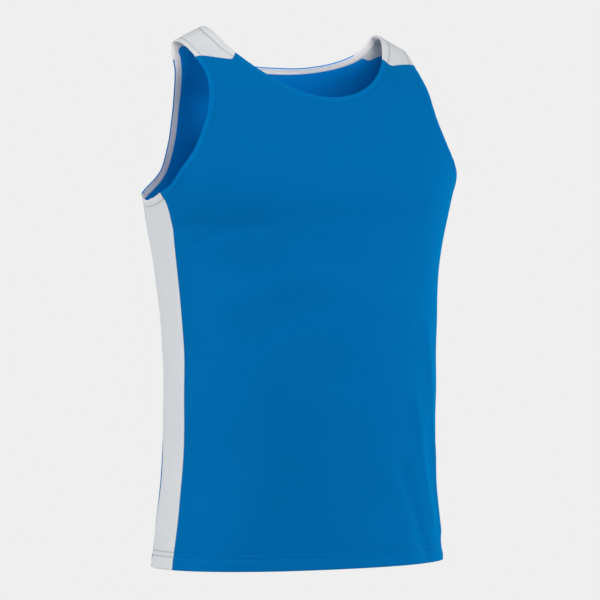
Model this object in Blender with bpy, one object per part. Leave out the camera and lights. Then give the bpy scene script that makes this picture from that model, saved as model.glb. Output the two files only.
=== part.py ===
"""Running singlet, filled out as it is when worn: two blue panels, two white side panels,
two white shoulder yokes, and the tapes inside the neck and the armholes.

Every panel is a piece of one sheet that runs round the wearer. A place on the sheet is a
spot: its half (-1 front, +1 back), the angle away from that half's centre line (radians,
positive on +X), and the cloth that lies between it and the crown of the shoulder. Travel
is the same length of cloth with a sign: over the shoulder, from the front (-) to the back
(+). Tables are in millimetres and degrees; MM turns them into metres. The front faces -Y,
left and right are the wearer's, so left is +X, and the origin is midway between the middles
of the two shoulder straps.
"""

import bmesh
import bpy
import numpy as np

MM = 0.001
FRONT = -1
BACK = 1

# Cloth
CLOTH = 1.4             # one thickness of the knit
HEM_CLOTH = 2.4         # two thicknesses, where the hem is turned up
HEM_DEPTH = 20
HEM_STEP = 1.5          # cloth over which the turning's edge steps down
TAPE_CLOTH = 1.0
TAPE_WIDTH = 10
GAP = 0.3               # between a tape and the panel that it is sewn to
SEAM_HALF = 0.25        # cloth left out on each side of a yoke seam
SEAM_HALF_ANGLE = np.radians(0.1)

# Form of the sheet: its section at each length of cloth below the crown
CROWN_RISE = 8.6        # from the middle of a strap up to the crown's reference point
CROWN_REFERENCE = 126   # x of that point, by the neck
SECTION_COLUMNS = (
    "name", "down", "height", "front_width", "back_width", "square",
    "front", "back", "centre", "slope",
)
SECTIONS = (
    ("crown",    0,    0, 245, 245, 2.0,   0,   0,   0, 0.40),
    ("yoke",    60,  -33, 392, 187, 2.2,  47,  17,   0, 0.22),
    ("collar", 122,  -87, 303, 207, 1.95, 100, 70,  0, 0.05),
    ("chest",  178, -140, 252, 226, 2.2, 116,  77,  -5, 0),
    ("armpit", 240, -200, 218, 218, 2.5, 123, 102, -18, 0),
    ("side",   290, -250, 205, 205, 2.4, 124, 106, -17, 0),
    ("rib",    400, -355, 192, 192, 2.2, 127, 100, -20, 0),
    ("waist",  520, -475, 187, 187, 2.2, 125,  98, -24, 0),
    ("hip",    640, -595, 191, 191, 2.2, 123, 102, -20, 0),
    ("hem",    730, -685, 202, 202, 2.2, 124, 105, -20, 0),
)
CROWN_SLOPES = {
    "height": 0, "slope": 0, "centre": 0, "front": 1, "back": 1,
    "front_width": 0, "back_width": 0,
}

# Neck: a rounded curve from crown to crown, drawn on the cloth
NECK_HALF_WIDTH = 127.5
NECK_DOWN = {FRONT: 130, BACK: 85}
NECK_SQUARE = {FRONT: 1.95, BACK: 2.4}

# Armhole: how far out its edge stands, down to the corners where the side panel closes it
ARM_COLUMNS = ("down", "front", "back")
ARM_EDGE = (
    (0,   168.0, 168.0),
    (60,  162.0, 167.0),
    (90,  160.4, 156.6),
    (120, 163.0, 145.8),
    (152, 168.8, 144.0),
    (178, 179.0, 147.4),
    (205, 192.1, 152.8),
    (230, 204.7, 164.8),
    (247, 209.0, 190.0),
)
ARMHOLE_DOWN = 254
WIDTHS_MEET = 50        # cloth above that over which the halves' widths become one
UNDERARM_DIP = 6        # the side panel's top edge hollows this much

# Side seams: angles from the front and back centre lines
SEAM_COLUMNS = ("down", "front", "back")
SIDE_SEAM = (
    (254, 83.0, 71),
    (262, 80.5, 71),
    (272, 78.7, 73),
    (290, 77.3, 74),
    (332, 77.0, 71),
    (384, 77.0, 70),
    (525, 77.8, 70.5),
    (590, 77.9, 77),
    (630, 78.0, 78),
    (680, 78.2, 74.5),
    (730, 78.3, 75.5),
)

# Yoke seams: on each side of the shoulder, where the seam meets the neck and the armhole, and
# how much further down it runs at each share of the strap between them
YOKE_AT_NECK = {FRONT: 67, BACK: 58}
YOKE_AT_ARM = {FRONT: 59.5, BACK: 60}
YOKE_SEAM = {
    FRONT: ((0, 0), (0.29, 9.3), (1, 0)),
    BACK: ((0, 0), (0.22, 2.5), (0.56, -26), (0.80, -4), (1, 0)),
}
STRAP_FOOT_DOWN = 190   # where the strap's lowest row meets the armhole

# Largest folds: ridges (+) and hollows (-) that run between two places on the sheet;
# the angle goes round from the front centre line, 0, by +X to the back one, 180
FOLD_RADIUS = 160       # turns such an angle into a length of cloth
FOLD_COLUMNS = ("name", "angle_1", "down_1", "angle_2", "down_2", "width", "rise")
FOLDS = (
    ("front_drape_outer",   42, 440,   63, 690, 20,  2.6),
    ("front_drape_inner",   33, 520,   50, 690, 17,  2.2),
    ("front_hollow_low",    25, 620,   38, 730, 20, -2.4),
    ("under_chest",        -68, 292,  -12, 280, 26, -1.8),
    ("rib_hollow",         -39, 412,  -14, 366, 28, -1.4),
    ("back_drape_left",   -122, 420, -136, 730, 24,  3.2),
    ("back_drape_right",   138, 460,  124, 730, 22,  2.8),
    ("back_hollow",        165, 330,  150, 600, 40, -2.2),
)

# Fineness of the mesh
SHARP = np.radians(50)  # edges that turn more than this are shaded sharp
PANEL_POINTS = 14       # across half a panel
BODY_ROWS = 15          # from the hem's turning up to the armhole
CHEST_ROWS = 5          # on up to the neck
STRAP_ROWS = 7          # on up to the yoke
YOKE_ROWS = 8           # over the shoulder
SIDE_POINTS = 6         # across a side panel
STEP_TURN = 0.004       # small steps for slopes, in radians and in millimetres
STEP_DOWN = 0.5

# Colours, as linear values, and how matt each cloth is
BLUE = (0.002, 0.142, 0.445)
WHITE = (0.66, 0.69, 0.73)
PANEL_ROUGHNESS = 0.62
TRIM_ROUGHNESS = 0.66
TAPE_ROUGHNESS = 0.70


def spline(knots, values, start_slope=None):
    """A cubic curve through the values, natural at its ends or with a given first slope."""
    knots = np.asarray(knots, float)
    values = np.asarray(values, float)
    gaps = np.diff(knots)
    rises = np.diff(values) / gaps
    system = np.zeros((len(knots), len(knots)))
    target = np.zeros(len(knots))
    system[0, :2] = (2, 1)
    target[0] = 3 * rises[0]
    if start_slope is not None:
        system[0, :2] = (1, 0)
        target[0] = start_slope
    system[-1, -2:] = (1, 2)
    target[-1] = 3 * rises[-1]
    for i in range(1, len(knots) - 1):
        system[i, i - 1] = 1 / gaps[i - 1]
        system[i, i] = 2 / gaps[i - 1] + 2 / gaps[i]
        system[i, i + 1] = 1 / gaps[i]
        target[i] = 3 * (rises[i - 1] / gaps[i - 1] + rises[i] / gaps[i])
    slopes = np.linalg.solve(system, target)

    def curve(at):
        at = np.asarray(at, float)
        i = np.clip(np.searchsorted(knots, at) - 1, 0, len(gaps) - 1)
        gap = gaps[i]
        t = (at - knots[i]) / gap
        bend_in = t * (1 - t) ** 2 * gap * slopes[i]
        bend_out = t * t * (t - 1) * gap * slopes[i + 1]
        ease = t * t * (3 - 2 * t)
        return values[i] * (1 - ease) + values[i + 1] * ease + bend_in + bend_out

    return curve


def column(table, names, name):
    return [row[names.index(name)] for row in table]


def section_curves():
    downs = column(SECTIONS, SECTION_COLUMNS, "down")
    return {
        name: spline(downs, column(SECTIONS, SECTION_COLUMNS, name), CROWN_SLOPES.get(name))
        for name in SECTION_COLUMNS[2:]
    }


def seam_curves():
    downs = column(SIDE_SEAM, SEAM_COLUMNS, "down")
    front = np.radians(column(SIDE_SEAM, SEAM_COLUMNS, "front"))
    back = np.radians(column(SIDE_SEAM, SEAM_COLUMNS, "back"))
    return {FRONT: spline(downs, front), BACK: spline(downs, back)}


def arm_curves():
    """How far out the armhole's edge stands, its corner taken from the side seam."""
    downs = column(ARM_EDGE, ARM_COLUMNS, "down") + [ARMHOLE_DOWN]
    curves = {}
    for half, name in ((FRONT, "front"), (BACK, "back")):
        share = np.sin(SIDE_SEAM_ANGLE[half](ARMHOLE_DOWN))
        corner = SECTION["front_width"](ARMHOLE_DOWN) * share ** (
            2 / SECTION["square"](ARMHOLE_DOWN)
        )
        curves[half] = spline(downs, column(ARM_EDGE, ARM_COLUMNS, name) + [corner], 0)
    return curves


SECTION = section_curves()
SIDE_SEAM_ANGLE = seam_curves()
ARM_OUT = arm_curves()
HEM_DOWN = SECTIONS[-1][SECTION_COLUMNS.index("down")]
BAND_FOOT_DOWN = ARMHOLE_DOWN + TAPE_WIDTH


def signed_power(value, power):
    return np.sign(value) * np.abs(value) ** power


def unit(vectors):
    return vectors / np.linalg.norm(vectors, axis=-1, keepdims=True)


def of_half(half, curves, at):
    """The front's curve where half is the front, and the back's elsewhere."""
    return np.where(half < 0, curves[FRONT](at), curves[BACK](at))


def width_at(half, down):
    """The halves' own widths down to the armholes' corners, and the front's below them."""
    front, back = SECTION["front_width"](down), SECTION["back_width"](down)
    own = np.clip((ARMHOLE_DOWN - down) / WIDTHS_MEET, 0, 1)
    return np.where(half < 0, front, front + (back - front) * own * own * (3 - 2 * own))


def swell(half, down):
    """How far the sheet stands before or behind its centre; odd in down, past the crown."""
    depth = np.abs(down)
    out = of_half(half, {FRONT: SECTION["front"], BACK: SECTION["back"]}, depth)
    return out * np.sign(down)


def form(half, angle, down):
    """The sheet before it is folded, in millimetres; it also runs a little past its edges."""
    depth = np.abs(down)
    power = 2 / SECTION["square"](depth)
    x = width_at(half, depth) * signed_power(np.sin(angle), power)
    y = SECTION["centre"](depth) + half * swell(half, down) * signed_power(np.cos(angle), power)
    lean = (x * x - CROWN_REFERENCE ** 2) / (2 * CROWN_REFERENCE)
    z = CROWN_RISE + SECTION["height"](depth) - SECTION["slope"](depth) * lean
    return np.stack([x, y, z], axis=-1)


def slopes(half, angle, down):
    """How the sheet moves for each radian of angle and each millimetre of cloth."""
    turned = form(half, angle + STEP_TURN, down) - form(half, angle - STEP_TURN, down)
    dropped = form(half, angle, down + STEP_DOWN) - form(half, angle, down - STEP_DOWN)
    return turned / (2 * STEP_TURN), dropped / (2 * STEP_DOWN)


def outward(half, angle, down):
    """The sheet's outward normal."""
    width = width_at(half, down)
    square = SECTION["square"](down)
    side_share = signed_power(np.sin(angle), 2 / square)
    ahead = np.abs(np.cos(angle)) ** (2 - 2 / square)
    aside = -half * swell(half, down) / width * signed_power(side_share, square - 1)
    fall = -SECTION["slope"](down) * width * side_share / CROWN_REFERENCE * ahead
    _turned, dropped = slopes(half, angle, down)
    across = np.stack([ahead, aside, fall], axis=-1)
    return unit(np.cross(across, dropped * half[..., None]))


def fold_rise(half, angle, down):
    """How far the folds lift the sheet, in millimetres."""
    around = np.where(half < 0, angle, np.pi - angle)
    rise = np.zeros(np.shape(down))
    for row in FOLDS:
        fold = dict(zip(FOLD_COLUMNS, row))
        middle = np.radians(fold["angle_1"] + fold["angle_2"]) / 2
        reach = np.radians(fold["angle_2"] - fold["angle_1"]) / 2 * FOLD_RADIUS
        run = np.array([2 * reach, fold["down_2"] - fold["down_1"]])
        length = np.linalg.norm(run)
        along = run / length
        aside = (around - middle + np.pi) % (2 * np.pi) - np.pi
        x = aside * FOLD_RADIUS + reach
        y = down - fold["down_1"]
        travel = x * along[0] + y * along[1]
        beyond = travel - np.clip(travel, 0, length)
        off = y * along[0] - x * along[1]
        spread = (off ** 2 + beyond ** 2) / fold["width"] ** 2
        rise = rise + fold["rise"] * np.exp(-spread)
    return rise


def places(spots, lift):
    """Where the spots are, in metres, lifted so many millimetres off the sheet."""
    half, angle, down = np.moveaxis(spots, -1, 0)
    rise = fold_rise(half, angle, down) + lift
    return MM * (form(half, angle, down) + outward(half, angle, down) * rise[:, None])


def angle_at(half, x, down):
    """The angle at which the section stands x out from the centre."""
    share = np.clip(x / width_at(half, down), -1, 1)
    return np.arcsin(signed_power(share, SECTION["square"](down) / 2))


def arm_edge(travel):
    """Half, angle and down along the armhole's edge on +X."""
    half = np.where(travel > 0, BACK, FRONT)
    down = np.abs(travel)
    return half, angle_at(half, of_half(half, ARM_OUT, down), down), down


def neck_edge(turn):
    """The same along the neck's edge; turn is 0 at the crown and -90 degrees in front."""
    half = np.where(turn > 0, BACK, FRONT)
    power = 2 / np.where(half < 0, NECK_SQUARE[FRONT], NECK_SQUARE[BACK])
    depth = np.where(half < 0, NECK_DOWN[FRONT], NECK_DOWN[BACK])
    down = depth * np.abs(np.sin(turn)) ** power
    out = NECK_HALF_WIDTH * signed_power(np.cos(turn), power)
    return half, angle_at(half, out, down), down


def neck_turn(half, down):
    """The turn at which the neck's edge lies so far down."""
    share = (down / NECK_DOWN[half]) ** (NECK_SQUARE[half] / 2)
    return half * np.arcsin(share)


def band(edge, at, step, hand):
    """(angle, travel) of an edge and of the line a tape's width inside it.

    hand is +1 where the cloth lies to the left of the way the edge runs, seen from outside.
    """
    half, angle, down = edge(at)
    along = unit(form(*edge(at + step)) - form(*edge(at - step)))
    reach = np.cross(outward(half, angle, down), along) * hand * TAPE_WIDTH
    turned, dropped = slopes(half, angle, down)
    tt = (turned * turned).sum(-1)
    td = (turned * dropped).sum(-1)
    dd = (dropped * dropped).sum(-1)
    rt = (reach * turned).sum(-1)
    rd = (reach * dropped).sum(-1)
    inner_angle = angle + (rt * dd - rd * td) / (tt * dd - td * td)
    inner_down = down + (rd * tt - rt * td) / (tt * dd - td * td)
    return (angle, down * half), (inner_angle, inner_down * half)


def between(start, end):
    """Straight rows of (angle, travel) from start to end, PANEL_POINTS long."""
    share = np.linspace(0, 1, PANEL_POINTS)
    return tuple(a[:, None] + (b - a)[:, None] * share for a, b in zip(start, end))


def spots_at(angle, travel):
    half = np.where(travel > 0, BACK, FRONT)
    return np.stack([half, angle, np.abs(travel)], axis=-1)


def body_downs():
    """Cloth lengths of the level rows, from the hem up to the armhole's band."""
    turning = HEM_DOWN - HEM_DEPTH
    rows = np.linspace(turning - HEM_STEP, BAND_FOOT_DOWN, BODY_ROWS + 1)
    return np.concatenate([[HEM_DOWN, turning], rows])


def body_rows(half):
    """Level rows from the centre line to the side seam."""
    downs = body_downs()
    seam = SIDE_SEAM_ANGLE[half](downs) - SEAM_HALF_ANGLE
    angle, travel = between((0 * downs, half * downs), (seam, half * downs))
    return spots_at(angle, travel)


def strap_rows(turns, travels, front_share, back_share):
    """Rows from the neck's edge to the armhole's, bent towards the yoke seams' shapes."""
    neck, neck_inner = band(neck_edge, turns, STEP_TURN, -1)
    arm, arm_inner = band(arm_edge, travels, STEP_DOWN, 1)
    angle, travel = between(neck_inner, arm_inner)
    angle = np.column_stack([neck[0], angle, arm[0]])
    travel = np.column_stack([neck[1], travel, arm[1]])
    across = (angle - angle[:, :1]) / (angle[:, -1:] - angle[:, :1])
    for half, share in ((FRONT, front_share), (BACK, back_share)):
        drop = np.interp(across, *zip(*YOKE_SEAM[half]))
        travel = travel + half * drop * share[:, None]
    return spots_at(angle, travel)


def half_strap_rows(half):
    """One strap from the neck's middle up to the yoke."""
    share = np.linspace(0, 1, STRAP_ROWS + 1)
    top = neck_turn(half, YOKE_AT_NECK[half])
    turns = half * np.pi / 2 + (top - half * np.pi / 2) * share
    travels = half * (STRAP_FOOT_DOWN + (YOKE_AT_ARM[half] - STRAP_FOOT_DOWN) * share)
    none = 0 * share
    pushes = (share ** 2, none) if half == FRONT else (none, share ** 2)
    return strap_rows(turns, travels, *pushes)


def yoke_rows():
    """The yoke over the shoulder, from its front seam to its back one."""
    share = np.linspace(0, 1, YOKE_ROWS + 1)
    ends = [neck_turn(half, YOKE_AT_NECK[half]) for half in (FRONT, BACK)]
    turns = ends[0] + (ends[1] - ends[0]) * share
    travels = -YOKE_AT_ARM[FRONT] + (YOKE_AT_ARM[BACK] + YOKE_AT_ARM[FRONT]) * share
    fade = np.clip(1 - 2 * share, 0, 1) ** 2
    return strap_rows(turns, travels, fade, fade[::-1])


def chest_rows(half, strap_foot):
    """Rows from the armhole's corner up to the neck; the top one runs along the straps."""
    share = np.linspace(0, 1, CHEST_ROWS + 1)
    travels = half * (ARMHOLE_DOWN + (STRAP_FOOT_DOWN - ARMHOLE_DOWN) * share)
    arm, arm_inner = band(arm_edge, travels, STEP_DOWN, 1)
    seam = SIDE_SEAM_ANGLE[half](np.array([BAND_FOOT_DOWN, ARMHOLE_DOWN])) - SEAM_HALF_ANGLE
    arm_inner[0][0] = seam[0]
    arm_inner[1][0] = half * BAND_FOOT_DOWN
    arm[0][0] = seam[1]
    centre = half * (BAND_FOOT_DOWN + (strap_foot[1, 2] - BAND_FOOT_DOWN) * share)
    angle, travel = between((0 * share, centre), arm_inner)
    rows = spots_at(np.column_stack([angle, arm[0]]), np.column_stack([travel, arm[1]]))
    rows[-1] = strap_foot[1:]
    return rows


def side_rows():
    """A side panel on +X, from the hem up to its hollowed top edge."""
    downs = np.append(body_downs(), ARMHOLE_DOWN)
    share = np.linspace(0, 1, SIDE_POINTS)
    start = SIDE_SEAM_ANGLE[FRONT](downs) + SEAM_HALF_ANGLE
    end = np.pi - SIDE_SEAM_ANGLE[BACK](downs) - SEAM_HALF_ANGLE
    around = start[:, None] + (end - start)[:, None] * share
    dip = np.where(downs <= BAND_FOOT_DOWN, UNDERARM_DIP, 0)
    down = downs[:, None] + dip[:, None] * np.sin(np.pi * share)
    half = np.where(around > np.pi / 2, BACK, FRONT)
    angle = np.where(half == BACK, np.pi - around, around)
    return np.stack([half, angle, down], axis=-1)


def on_side(rows, hand):
    """The rows of +X, or the same on -X, turned so that their faces still point out."""
    return rows if hand > 0 else (rows * np.array([1, -1, 1]))[:, ::-1]


def moved(rows, index, down):
    """The rows with those of one index moved down the cloth."""
    rows = rows.copy()
    rows[index, :, 2] += down
    return rows


class Patch:
    """Quads over the sheet; spots that are given twice are shared."""

    def __init__(self):
        self.number = {}
        self.spots = []
        self.quads = []

    def vertex(self, spot):
        key = tuple(np.round(spot, 5) + 0.0)
        if key not in self.number:
            self.number[key] = len(self.spots)
            self.spots.append(spot)
        return self.number[key]

    def add(self, rows):
        numbers = [[self.vertex(spot) for spot in row] for row in rows]
        for low, high in zip(numbers, numbers[1:]):
            self.quads += zip(low, low[1:], high[1:], high)

    def add_both(self, rows):
        for hand in (1, -1):
            self.add(on_side(rows, hand))

    def rim(self):
        """The edges that only one quad has, in its own order."""
        edges = {(quad[i - 1], quad[i]) for quad in self.quads for i in range(4)}
        return [(a, b) for a, b in sorted(edges) if (b, a) not in edges]


def panel_patch(half):
    patch = Patch()
    strap = half_strap_rows(half)
    pieces = (body_rows(half), chest_rows(half, strap[0]), moved(strap, -1, SEAM_HALF))
    for rows in pieces:
        patch.add_both(rows)
    return patch


def yoke_patch(hand):
    patch = Patch()
    rows = moved(moved(yoke_rows(), 0, -SEAM_HALF), -1, -SEAM_HALF)
    patch.add(on_side(rows, hand))
    return patch


def side_patch(hand):
    patch = Patch()
    rows = side_rows()
    patch.add(on_side(rows, hand))
    return patch


def neck_tape_patch():
    """The cells beside the neck's edge, all round."""
    patch = Patch()
    for rows in (half_strap_rows(FRONT), yoke_rows(), half_strap_rows(BACK)[::-1]):
        patch.add_both(rows[:, :2])
    return patch


def arm_tape_patch(hand):
    """The cells beside an armhole's edge, all round."""
    patch = Patch()
    strips = [yoke_rows()[:, -2:]]
    for half in (FRONT, BACK):
        strap = half_strap_rows(half)
        lower = np.concatenate([chest_rows(half, strap[0])[:, -2:], strap[1:, -2:]])
        lower[0, :, 1] += SEAM_HALF_ANGLE
        strips.append(lower[::-half])
    top = side_rows()[-2:]
    top[:, 0, 1] -= SEAM_HALF_ANGLE
    top[:, -1, 1] += SEAM_HALF_ANGLE
    strips.append(top.transpose(1, 0, 2)[::-1])
    for cells in strips:
        patch.add(on_side(cells, hand))
    return patch


def cloth_depth(spots):
    """Thickness at each spot: double in the hem's turning."""
    return np.where(spots[:, 2] > HEM_DOWN - HEM_DEPTH - HEM_STEP / 2, HEM_CLOTH, CLOTH)


def add_solid(name, patch, top, bottom, material):
    """A closed wall over a patch, between two lifts off the sheet."""
    spots = np.array(patch.spots)
    count = len(spots)
    faces = list(patch.quads)
    faces += [tuple(count + corner for corner in reversed(quad)) for quad in patch.quads]
    faces += [(b, a, count + a, count + b) for a, b in patch.rim()]
    vertices = np.concatenate([places(spots, top), places(spots, bottom)])
    mesh = bpy.data.meshes.new(name)
    mesh.from_pydata(vertices.tolist(), [], faces)
    wall = bmesh.new()
    wall.from_mesh(mesh)
    bmesh.ops.recalc_face_normals(wall, faces=wall.faces)
    bmesh.ops.triangulate(wall, faces=wall.faces, quad_method="SHORT_EDGE")
    wall.to_mesh(mesh)
    wall.free()
    mesh.shade_smooth()
    mesh.set_sharp_from_angle(angle=SHARP)
    mesh.materials.append(material)
    bpy.context.scene.collection.objects.link(bpy.data.objects.new(name, mesh))


def add_cloth(name, patch, material):
    add_solid(name, patch, 0, -cloth_depth(np.array(patch.spots)), material)


def add_tape(name, patch, material):
    add_solid(name, patch, -CLOTH - GAP, -CLOTH - GAP - TAPE_CLOTH, material)


def knit(name, colour, roughness):
    """A plain Principled material for the polyester knit."""
    material = bpy.data.materials.new(name)
    material.use_nodes = True
    shader = material.node_tree.nodes["Principled BSDF"]
    shader.inputs["Base Color"].default_value = (*colour, 1)
    shader.inputs["Roughness"].default_value = roughness
    shader.inputs["Metallic"].default_value = 0
    return material


def main():
    for item in list(bpy.data.objects):
        bpy.data.objects.remove(item)
    for half, name in ((FRONT, "front_panel"), (BACK, "back_panel")):
        add_cloth(name, panel_patch(half), knit(name, BLUE, PANEL_ROUGHNESS))
    for hand, side in ((1, "left"), (-1, "right")):
        name = "side_panel_" + side
        add_cloth(name, side_patch(hand), knit(name, WHITE, TRIM_ROUGHNESS))
        name = "shoulder_yoke_" + side
        add_cloth(name, yoke_patch(hand), knit(name, WHITE, TRIM_ROUGHNESS))
        name = "armhole_tape_" + side
        add_tape(name, arm_tape_patch(hand), knit(name, WHITE, TAPE_ROUGHNESS))
    add_tape("neck_tape", neck_tape_patch(), knit("neck_tape", WHITE, TAPE_ROUGHNESS))


main()
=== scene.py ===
"""Running singlet: its cloth, tapes, seams and stitches, made round the packed frame.

Every piece of cloth is a part of one sheet that runs round the wearer, as in the frame's
solids. A place on the sheet is a spot: its half (-1 front, +1 back), the angle away from
that half's centre line (radians, positive on +X), and the cloth between it and the crown of
the shoulder. Two more columns say how far the spot is from a finished edge and from a seam.
Travel is the length of cloth with a sign: over the shoulder, from the front (-) to the back
(+). Tables are in millimetres and degrees; MM turns them into metres. The front faces -Y,
and left and right are the wearer's, so left is +X.
"""

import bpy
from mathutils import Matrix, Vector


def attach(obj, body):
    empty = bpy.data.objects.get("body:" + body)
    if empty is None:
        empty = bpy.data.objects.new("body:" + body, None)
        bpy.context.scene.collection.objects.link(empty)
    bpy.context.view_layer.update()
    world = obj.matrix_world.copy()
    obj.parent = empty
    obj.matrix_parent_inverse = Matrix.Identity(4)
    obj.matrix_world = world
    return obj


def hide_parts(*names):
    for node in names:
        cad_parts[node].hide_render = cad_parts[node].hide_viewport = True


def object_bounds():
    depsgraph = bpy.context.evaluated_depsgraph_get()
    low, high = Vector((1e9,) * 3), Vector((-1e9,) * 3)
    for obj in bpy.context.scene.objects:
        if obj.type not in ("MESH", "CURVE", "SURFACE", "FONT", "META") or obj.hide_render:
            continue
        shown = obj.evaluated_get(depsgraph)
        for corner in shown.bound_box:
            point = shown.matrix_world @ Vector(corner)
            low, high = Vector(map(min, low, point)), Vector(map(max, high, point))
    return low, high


bl_info = {
    "name": "Running Singlet",
    "version": (1, 0, 0),
    "blender": (4, 5, 0),
    "location": "3D View > Sidebar > Singlet",
    "description": "Makes a running singlet's panels, yokes, tapes, seams and stitches",
    "category": "Add Mesh",
}

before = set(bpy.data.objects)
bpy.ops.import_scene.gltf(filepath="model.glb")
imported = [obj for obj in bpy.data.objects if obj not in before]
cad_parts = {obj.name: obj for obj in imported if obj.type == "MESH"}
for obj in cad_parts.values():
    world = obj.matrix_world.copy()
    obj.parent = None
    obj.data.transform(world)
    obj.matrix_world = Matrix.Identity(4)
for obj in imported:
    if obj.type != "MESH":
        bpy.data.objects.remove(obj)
CAD_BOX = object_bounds()

import bmesh
import bpy
import numpy as np
from bpy.props import FloatProperty, FloatVectorProperty, PointerProperty
from mathutils import Vector

MM = 0.001
FRONT = -1
BACK = 1
LEFT = 1
RIGHT = -1
SIDES = ((LEFT, "left"), (RIGHT, "right"))
HALVES = ((FRONT, "front"), (BACK, "back"))
DOWN = 2                # columns of a spot, after its half and its angle
EDGE = 3
SEAM = 4
MIRROR = np.array([1, -1, 1, 1, 1])     # turns a spot on +X into the one across from it
SPOT_DIGITS = 5         # spots that agree to so many decimals are one
BODY = "root"
BODY_SLOT = "body_knit"
TRIM_SLOT = "trim_knit"

# Form of the sheet: its section at each length of cloth below the crown
CROWN_RISE = 8.6        # from the middle of a strap up to the crown's reference point
CROWN_REFERENCE = 126   # x of that point, by the neck
SECTION_COLUMNS = (
    "name", "down", "height", "front_width", "back_width", "square",
    "front", "back", "centre", "slope",
)
SECTIONS = (
    ("crown",    0,    0, 245, 245, 2.0,    0,   0,   0, 0.40),
    ("yoke",    60,  -33, 392, 187, 2.2,   47,  17,   0, 0.22),
    ("collar", 122,  -87, 303, 207, 1.95, 100,  70,   0, 0.05),
    ("chest",  178, -140, 252, 226, 2.2,  116,  77,  -5, 0),
    ("armpit", 240, -200, 218, 218, 2.5,  123, 102, -18, 0),
    ("side",   290, -250, 205, 205, 2.4,  124, 106, -17, 0),
    ("rib",    400, -355, 192, 192, 2.2,  127, 100, -20, 0),
    ("waist",  520, -475, 187, 187, 2.2,  125,  98, -24, 0),
    ("hip",    640, -595, 191, 191, 2.2,  123, 102, -20, 0),
    ("hem",    730, -685, 202, 202, 2.2,  124, 105, -20, 0),
)
# How steeply each curve through the sections starts at the crown; the others start straight
CROWN_SLOPES = {
    "height": 0, "slope": 0, "centre": 0, "front": 1, "back": 1,
    "front_width": 0, "back_width": 0,
}

# Neck: a rounded curve from crown to crown, drawn on the cloth
NECK_HALF_WIDTH = 127.5
NECK_DOWN = {FRONT: 130, BACK: 85}
NECK_SQUARE = {FRONT: 1.95, BACK: 2.4}

# Armhole: how far out its edge stands, down to the corners where the side panel closes it
ARM_COLUMNS = ("down", "front", "back")
ARM_EDGE = (
    (0,   168.0, 168.0),
    (60,  162.0, 167.0),
    (90,  160.4, 156.6),
    (120, 163.0, 145.8),
    (152, 168.8, 144.0),
    (178, 179.0, 147.4),
    (205, 192.1, 152.8),
    (230, 204.7, 164.8),
    (247, 209.0, 190.0),
)
ARMHOLE_DOWN = 254
WIDTHS_MEET = 50        # cloth above that over which the halves' widths become one
UNDERARM_DIP = 8.5      # the side panel's top edge hollows this much
DIP_FADE = 70           # cloth over which that hollow fades out below the band

# Side seams: angles from the front and back centre lines
SEAM_COLUMNS = ("down", "front", "back")
SIDE_SEAM = (
    (254, 83.0, 71),
    (262, 80.5, 71),
    (272, 78.7, 73),
    (290, 77.3, 74),
    (332, 77.0, 71),
    (384, 77.0, 70),
    (525, 77.8, 70.5),
    (590, 77.9, 77),
    (630, 78.0, 78),
    (680, 78.2, 74.5),
    (730, 78.3, 75.5),
)

# Yoke seams: on each side of the shoulder, where the seam meets the neck and the armhole, and
# how much further down it runs at each share of the strap between them
YOKE_AT_NECK = {FRONT: 67, BACK: 58}
YOKE_AT_ARM = {FRONT: 60.5, BACK: 60}
YOKE_SEAM = {
    FRONT: ((0, 0), (0.25, 6.5), (0.6, 3), (1, 0)),
    BACK: (
        (0, 0), (0.18, -6), (0.3, -3.5), (0.36, -6), (0.43, -20), (0.48, -24), (0.62, -16),
        (1, 0),
    ),
}
YOKE_CORNER = 0.03      # share of the strap, each way, over which the corners are rounded
CORNER_SAMPLES = 7      # places whose mean rounds them
STRAP_FOOT_DOWN = 190   # where the strap's lowest row meets the armhole

# Folds: ridges (+) and hollows (-) that run between two places on the sheet; the angle goes
# round from the front centre line, 0, by +X to the back one, 180
FOLD_RADIUS = 160       # turns such an angle into a length of cloth
FOLD_COLUMNS = ("name", "angle_1", "down_1", "angle_2", "down_2", "width", "rise")
FOLDS = (
    ("front_drape_outer",   43, 430,   66, 690, 11,  2.7),
    ("front_drape_inner",   34, 520,   50, 676,  9,  1.9),
    ("front_hollow_low",    27, 610,   41, 716, 13, -3.0),
    ("chest_ridge",        -56, 266,   32, 259, 23,  1.7),
    ("under_chest_right",  -76, 300,  -31, 297, 11, -1.1),
    ("under_chest_middle", -31, 297,   -2, 285, 12, -0.9),
    ("under_chest_left",    -2, 285,   38, 281, 15, -0.6),
    ("rib_ridge",          -48, 394,  -17, 366, 23,  2.9),
    ("rib_ridge_left",      -6, 366,   14, 396, 22,  2.3),
    ("rib_hollow",         -41, 446,  -15, 398, 20, -1.6),
    ("low_drape",          -46, 690,  -15, 520, 27,  1.9),
    ("back_drape_left",   -122, 420, -136, 730, 24,  3.2),
    ("back_drape_right",   138, 460,  124, 730, 22,  2.8),
    ("back_hollow",        165, 330,  150, 600, 40, -2.2),
)
CREASES = (
    ("chest_crease",       -62, 318,  -38, 298,  7, -1.0),
    ("hem_crease",          18, 700,   20, 728,  3, -0.6),
    ("yoke_crease_right",  -28,  31,  -17,  56,  5, -0.5),
    ("yoke_crease_foot",   -27,  40,  -20,  62,  5,  0.5),
    ("yoke_crease_left",    29,  20,   23,  46,  5, -0.5),
    ("waist_crease_left",   48, 500,   58, 560,  7, -0.5),
    ("back_crease_low",    150, 640,  143, 726,  6, -0.7),
    ("back_crease_waist", -150, 505, -132, 548,  7, -0.6),
    ("back_crease_blade",  140, 290,  158, 330,  9, -0.6),
)

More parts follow.
